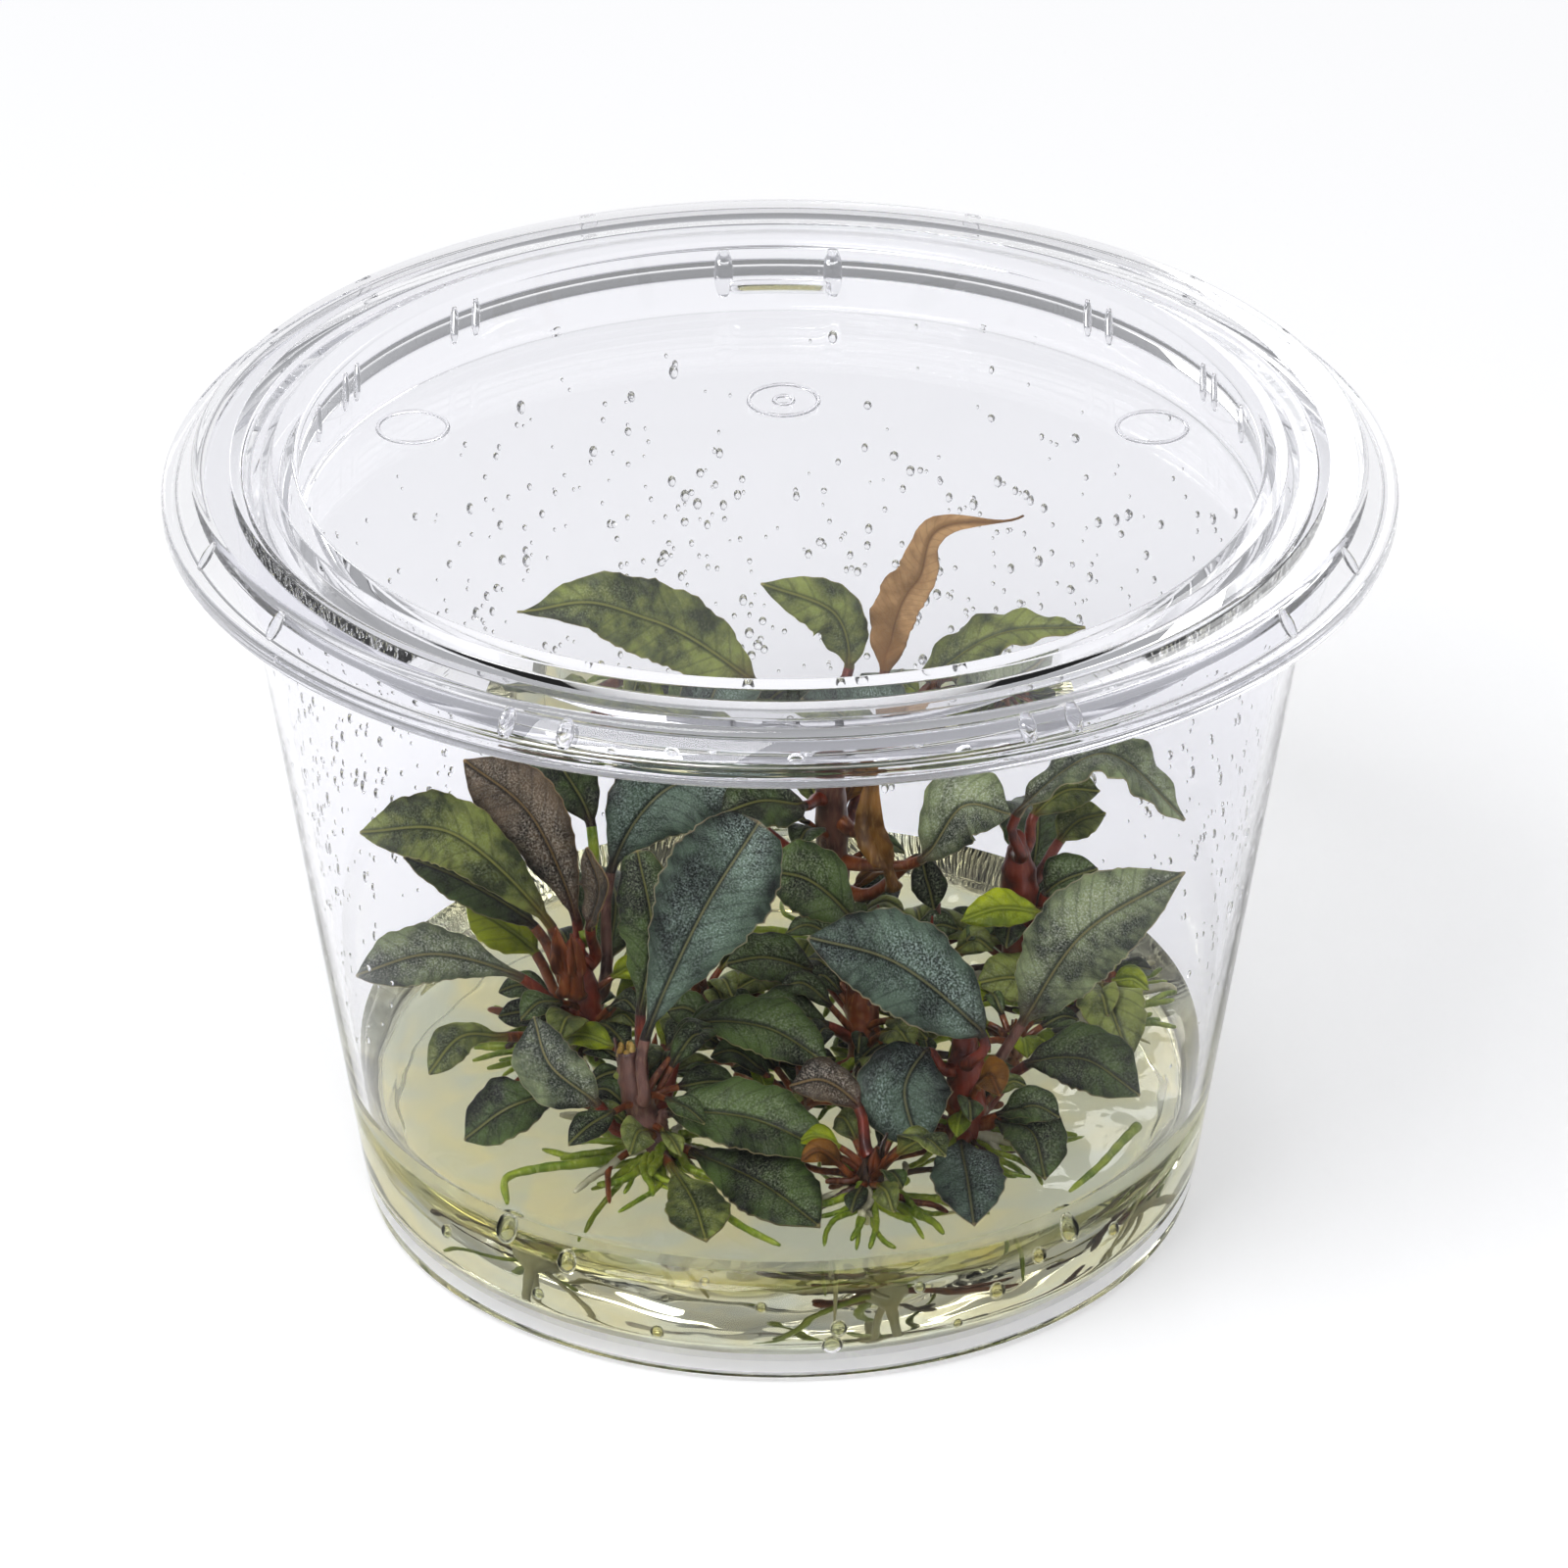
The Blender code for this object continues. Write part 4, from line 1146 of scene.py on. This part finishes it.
# Each line: a leaf's name, foot, neck, middle and tip, then width, bearing, rise and where it is
# widest, then its colours and what else it does.
LEAVES = """
front_tall -11 -20.3 18.4 -11 -18.7 22.8 -6.5 -16.2 33 -1.7 -12 39.5 9.4 5 30 .66 TEAL MAUVE \
    teeth=.035 point=-.42
front_behind -11.3 -16 18.5 -11.4 -14.6 22.8 -10.4 -12.8 29.5 -11.6 -9.2 35.2 5.5 -25 25 .6 DARK CRIMSON \
    point=-.4
front_folded -13.4 -19.8 15 -14.8 -20.2 17.6 -18.6 -19.8 21 -20 -17 24 5.4 -30 35 .5 GREY CRIMSON curl=.2
front_low_left -12 -17.5 14 -17.5 -16.5 16 -21.8 -18 16 -25.7 -18.8 13.3 5.8 -15 60 .6 DARK RUST
front_right -9.6 -19.6 15.2 -9 -20 16.7 -2.3 -21.5 17 4.5 -24.5 15.3 6.6 0 60 .5 DARK MAUVE
front_under -8 -20 12.9 -7.2 -20.8 13.4 -1.6 -25.4 13.3 3.2 -31 12.6 6.8 0 65 .6 DARK RUST wave=.2
front_small -9.5 -21.3 13.2 -8.9 -22.8 13.3 -7 -28.4 13.4 -5.9 -33.3 12.7 5.2 0 80 .66 OLIVE RUST wave=.2
front_middle -9.4 -16.4 15.6 -7.4 -12.6 20.2 -1.3 -13 20.6 4 -15.5 18.5 5.6 -5 60 .55 DARK CRIMSON
left_arch -18.2 0 17.5 -19.1 .5 22.4 -27 1 30.8 -35 1 31 6.2 -10 45 .58 OLIVE RUST curl=.06
left_dark -18.3 1.5 17 -20.6 3.5 20.6 -26.2 3.5 24.8 -31.5 3.5 27.3 4.6 -10 60 .5 DARK RUST
left_low -18 -2.3 15.4 -21.5 -3 19.4 -28.7 -4 22.2 -35.2 -6 21.3 5.4 -5 50 .62 GREY CRIMSON
left_tall -17.6 2.4 19 -17 2.6 21.8 -20.6 3.4 31.2 -26.3 5 35.8 6.4 -15 30 .6 BRONZE CRIMSON
left_big -14.6 1.5 16.5 -14.2 5 25 -9.8 7.5 31.4 -2.2 9 33 9 5 40 .6 TEAL MAUVE
left_narrow -15.4 .9 19.4 -15.8 -.8 23 -14.9 -1.2 27 -16 .5 30 4 -60 20 .5 BRONZE CRIMSON curl=.2
left_green -18.3 .5 14.5 -20.5 5 17 -23.5 6.5 19 -26.5 8 20 5 -10 60 .5 LIME RUST
left_olive -18.3 -3.5 14 -22.8 -7 16.1 -26.4 -8.5 16.9 -29 -10.2 14.4 3.4 0 55 .64 OLIVE RUST
left_high -15.8 3.4 21 -15.8 7.5 28 -18.6 10.5 32.5 -22 13.5 36.6 5.5 -10 40 .5 DARK GREEN
right_big 15.4 -17.6 20 16.5 -17.4 22.4 9.6 -17.6 29.2 2.2 -17 31.4 8.4 -5 50 .5 TEAL CRIMSON
right_tall 17.2 -15.2 17.5 19.8 -15 22.2 24.5 -17 31.8 32.3 -20 39.3 7.8 -5 35 .52 GREY MAUVE \
    wave=.3 point=.3
right_low 17.4 -13.6 14 20.3 -13 17 25 -14 18.1 29.4 -16 15.9 6.4 5 60 .55 DARK CRIMSON
right_curl 17.1 -17.4 14 17.8 -17.8 14.5 20.5 -20 14.8 21.5 -24 12.8 5.5 30 60 .55 DARK RUST
right_drop 15.1 -19 13.6 14.8 -20.5 14 15.2 -26.5 14.2 15.6 -31 12.8 6 0 80 .5 TEAL CRIMSON wave=.2
right_hang 13.2 -16.8 19 12 -17.3 20.8 10.2 -20 18.8 11.4 -23 14.9 8 -10 40 .5 TEAL CRIMSON
front_back 6.9 -23.4 15.6 6.4 -21.5 18 3.6 -20 19.6 .8 -19.5 18.8 4 0 60 .5 BRONZE CRIMSON
centre_left 6 -3.6 21 6 -3.5 25 2.5 -4.5 29.5 -1.5 -4.5 30.5 6.5 0 50 .55 DARK RUST
centre_dark 5.2 -5.2 15.4 3.8 -6 16.6 .5 -7.5 18.4 -3 -9 17.6 5.5 0 60 .5 DARK CRIMSON
centre_far 5.2 -2.4 17 3 -1 18.6 -1 -1.5 20.4 -4.5 -2.5 20.4 5 0 60 .5 DARK CRIMSON
back_wide 2.6 11 34 -2 9.5 39.8 -10.7 8.5 46.4 -21.7 6.5 48.3 6.6 -15 40 .48 OLIVE CRIMSON \
    wave=.5 point=.6 arch=.9
back_wavy 4.2 14 36 5.8 15 38.4 4.5 15.5 43.4 -1.6 15.5 46.2 4.8 -20 30 .5 OLIVE CRIMSON wave=.5
back_dry 7 10 27 8.8 13.5 39 11.4 15.5 46.4 20.2 14 53.4 4.2 -30 20 .34 DRY RUST \
    curl=.2 point=1.1 lean=-2 arch=1.9
back_upright 7.6 9.8 23 11.8 5 26.2 15.2 4.5 31.6 19.2 4.2 31 6.8 0 55 .54 GREY RUST
back_dark 3 10.4 29 2 7.5 30 -1.5 5.5 31.5 -5 4 31 6 0 60 .5 DARK CRIMSON
back_right 6.6 12.6 31 11.4 15.4 35.8 18 16.5 40.6 25.6 15.5 42 4.7 10 70 .42 OLIVE RUST wave=.4
back_slip 7.8 10.2 20 11.4 8 24.6 12.4 7.4 22.8 13 6.8 20.4 3 0 40 .55 DARK RUST
right_arch 20.2 6.4 26 19.8 6.6 29.6 27 7 35.2 34 7 28.8 5.8 0 75 .58 GREY CRIMSON wave=.5
right_behind 21 9.6 25.5 21.4 10.5 27.4 24 12.2 28.8 27 13.2 28.2 3.8 10 50 .5 OLIVE CRIMSON
right_dark 22 8.2 19.6 22.4 8 21.2 24 7.6 22.8 26.8 8 23.6 4.6 0 50 .55 DARK CRIMSON
right_lime 22.1 7.6 18 21.6 4.2 21.4 18.4 3 22.6 15.1 2 22 3.4 10 50 .5 LIME RUST
right_small 22 10.2 22 23.6 12 24 25.2 13 25.4 27.6 14 25.6 3.5 0 50 .5 OLIVE CRIMSON
wall_olive 26.9 2.6 15.4 27 1.5 16 27.6 -2 16.2 29.1 -6.5 13.5 6 20 60 .5 OLIVE RUST
wall_green 24.6 2.4 14.6 22.8 1.6 15.6 19.6 1 17 16.4 0 17 5 0 60 .5 OLIVE CRIMSON
rear_left 2.6 14.6 20 -2 17 23 -8 19.5 26.5 -15 21 26 7.5 170 60 .5 DARK CRIMSON
rear_middle 5.6 14.4 24 7.5 19 28 9.5 24 31 10.5 30 30 7 180 55 .5 GREY CRIMSON
rear_right 20.6 11 16 21.5 15 19 22 20 21.5 21 26 20.5 6.5 180 60 .5 DARK CRIMSON
rear_low -15.4 .9 14 -14.5 6 16 -14 12 18.5 -15.5 19 17.5 7 180 65 .5 DARK CRIMSON
"""

CROWNS: tuple[Crown, ...] = (
    Crown("crown_front_left", ((-9.5, -18.5, 6.0, 0.9), (-9.8, -19.0, 12.0, 1.5), (-11.6, -18.6, 17.0, 1.3),
                               (-12.5, -18.2, 21.5, 0.9)), Bark.MAUVE, 1, (), Bark.STRAW, True),
    Crown("crown_left", ((-15.0, -2.5, 6.0, 0.9), (-16.0, -1.5, 12.5, 1.7), (-16.4, -0.5, 16.5, 1.4),
                         (-16.8, 1.5, 20.0, 0.5)), Bark.CRIMSON, 2, (
        Blade((-17.9, -1.6, 17.6, -17.9, -1.7, 19.0, -18.3, -1.6, 21.4, -18.6, -1.4, 23.4), 1.9, -10, 15,
              0.3, 0.5, 0.3, 0.5),
        Blade((-16.9, -2.0, 17.6, -16.9, -2.1, 19.0, -17.1, -2.0, 21.0, -17.4, -1.8, 23.0), 1.7, 20, 15,
              0.3, 0.5, 0.3, 0.5))),
    Crown("crown_centre", ((7.0, -5.0, 6.0, 0.9), (7.0, -5.5, 12.5, 1.5), (6.8, -3.5, 17.0, 1.4),
                           (6.4, -2.0, 21.5, 0.6)), Bark.RUST, 3),
    Crown("crown_front", ((7.0, -24.5, 6.5, 0.8), (7.2, -24.8, 12.0, 1.4), (7.4, -24.0, 14.5, 0.9)),
          Bark.EARTH, 4),
    Crown("crown_right", ((15.2, -16.0, 6.0, 1.0), (15.2, -16.8, 12.0, 1.6), (15.3, -15.8, 17.0, 1.7),
                          (15.0, -14.5, 22.5, 0.9)), Bark.CRIMSON, 5),
    Crown("crown_right_back", ((20.0, 9.5, 6.0, 0.9), (20.2, 9.0, 13.0, 1.4), (20.1, 8.5, 22.0, 1.6),
                               (20.0, 8.5, 26.5, 0.7)), Bark.CRIMSON, 6),
    Crown("crown_back", ((4.0, 14.0, 6.0, 1.0), (4.5, 13.5, 13.0, 1.6), (4.4, 12.4, 23.0, 1.45),
                         (4.2, 11.8, 33.0, 1.2), (4.4, 12.0, 38.0, 0.7)), Bark.MAUVE, 7, (
        Blade((9.4, 5.4, 23.8, 9.0, 5.2, 25.4, 7.4, 5.2, 29.6, 7.9, 5.4, 35.8), 2.7, 5, 10,
              0.34, 0.45, 0.3, 0.35),), Bark.TAN),
    Crown("crown_right_wall", ((26.0, 4.0, 6.5, 0.8), (26.0, 4.0, 12.5, 1.3), (25.6, 3.4, 15.5, 0.9)),
          Bark.CRIMSON, 8),
)

# Young shoots between the crowns, too small for a node of their own: place, height and bark.
TUFTS: tuple[Crown, ...] = tuple(
    Crown("", ((x, y, 11.0, 0.4), (x, y, 12.6, 0.7), (x + 0.4, y - 0.3, 12.6 + tall, 0.5)), bark, seed)
    for seed, (x, y, tall, bark) in enumerate((
        (-3.0, -8.0, 3.0, Bark.RUST), (-7.0, 1.0, 5.0, Bark.RUST), (0.5, 2.0, 7.0, Bark.CRIMSON),
        (11.5, -2.0, 6.0, Bark.RUST), (12.5, 7.0, 8.0, Bark.CRIMSON), (8.0, 5.0, 10.0, Bark.RUST),
        (1.5, -13.5, 3.0, Bark.MAUVE), (19.5, -5.0, 3.0, Bark.RUST), (-11.0, -9.0, 3.0, Bark.RUST)), 20))


# ---- The studio ----


@dataclass
class Studio:
    """Pale floor, soft lights and the camera at the photograph's angle."""

    focal_mm: float = 200.75
    elevation: float = 29.017
    distance_mm: float = 721.26
    target_mm: float = 36.196
    offset_mm: float = 0.326
    horizon: str = "D0D1D5"
    zenith: str = "9E9FA1"
    brightest: tuple[float, float, float] = (-0.15, 0.2, 0.97)
    # Each soft panel's name, place, width and height in millimetres, and power in watts.
    panels: tuple[tuple[str, tuple[float, float, float], float, float, float], ...] = (
        ("overhead_panel", (-170.0, -260.0, 500.0), 290.0, 230.0, 2.3),
        ("back_window", (120.0, 620.0, 400.0), 110.0, 260.0, 0.35))

    def add(self, name: str, data: bpy.types.ID, place_mm: Sequence[float]) -> Piece:
        """Puts a floor, light or camera in the studio.

        Args:
            name: Its name.
            data: Its mesh, light or camera.
            place_mm: Where it stands.

        Returns:
            Its object.
        """
        made = bpy.data.objects.new(name, data)
        made.location = Vector(place_mm) * MM
        bpy.context.scene.collection.objects.link(made)
        return made

    def build_room(self) -> None:
        """Lays a floor that fills the view, in a room blue-grey at eye level and greyer overhead."""
        shape = bmesh.new()
        bmesh.ops.create_grid(shape, x_segments=2, y_segments=2, size=1.5)
        mesh = bpy.data.meshes.new("floor")
        shape.to_mesh(mesh)
        shape.free()
        mesh.materials.append(LightTable().material())
        self.add("floor", mesh, (0.0, 0.0, -0.1))
        world = bpy.data.worlds.new("studio_room")
        bpy.context.scene.world = world
        world.use_nodes = True
        # An even room needs no light samples of its own.
        world.cycles.sampling_method = "NONE"
        world.node_tree.nodes.clear()
        add = partial(add_node, world.node_tree)
        towards = add("VectorMath", {"operation": "DOT_PRODUCT", 1: self.brightest},
                      {0: add("TexCoord").outputs["Generated"]})
        share = add("MapRange", {1: 0.1, 2: 0.95, "interpolation_type": "SMOOTHSTEP"}, {0: towards})
        colour = add("Mix", {"data_type": "RGBA", 6: self.horizon, 7: self.zenith}, {0: share})
        add("OutputWorld", links={"Surface": add("Background", links={"Color": colour})})

    def build(self) -> None:
        """Builds floor, room, lights and camera, and sets how light is traced and shown."""
        self.build_room()
        for name, spot, width, height, power in self.panels:
            data = bpy.data.lights.new(name, "AREA")
            data.shape = "RECTANGLE"
            data.size, data.size_y = width * MM, height * MM
            data.energy = power
            light = self.add(name, data, spot)
            aim = UP * self.target_mm * MM - light.location
            light.rotation_euler = aim.to_track_quat("-Z", "Y").to_euler()
        data = bpy.data.cameras.new("camera")
        data.lens, data.sensor_width, data.clip_start = self.focal_mm, 36.0, 0.01
        rise = radians(self.elevation)
        camera = self.add("camera", data, (self.offset_mm, -self.distance_mm * cos(rise),
                                           self.target_mm + self.distance_mm * sin(rise)))
        camera.rotation_euler = (pi / 2 - rise, 0.0, 0.0)
        bpy.context.scene.camera = camera
        view = bpy.context.scene.view_settings
        view.view_transform, view.look = "Standard", "None"
        # A touch more contrast, as the photograph's own print has.
        view.gamma = 0.86
        paths = bpy.context.scene.cycles
        # Light held in the gel by total reflection needs this many to come out again.
        paths.max_bounces = paths.transmission_bounces = paths.glossy_bounces = 60
        paths.diffuse_bounces = 1


def main() -> None:
    """Loads the frame, then builds the cup, gel, plants, beads, lid and studio in order."""
    logging.basicConfig(level=logging.INFO, format="%(name)s %(message)s")
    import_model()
    cup = Cup()
    cup.build()
    Gel(cup, CROWNS).build()
    for crown in CROWNS:
        crown.build()
    for number, line in enumerate(LEAVES.strip().splitlines()):
        Leaf(line, number).build()
    Undergrowth(CROWNS + TUFTS).build()
    Roots(cup, CROWNS).build()
    Condensation(cup).build()
    Lid().build()
    Studio().build()
    bpy.context.view_layer.update()


if __name__ == "__main__":
    main()
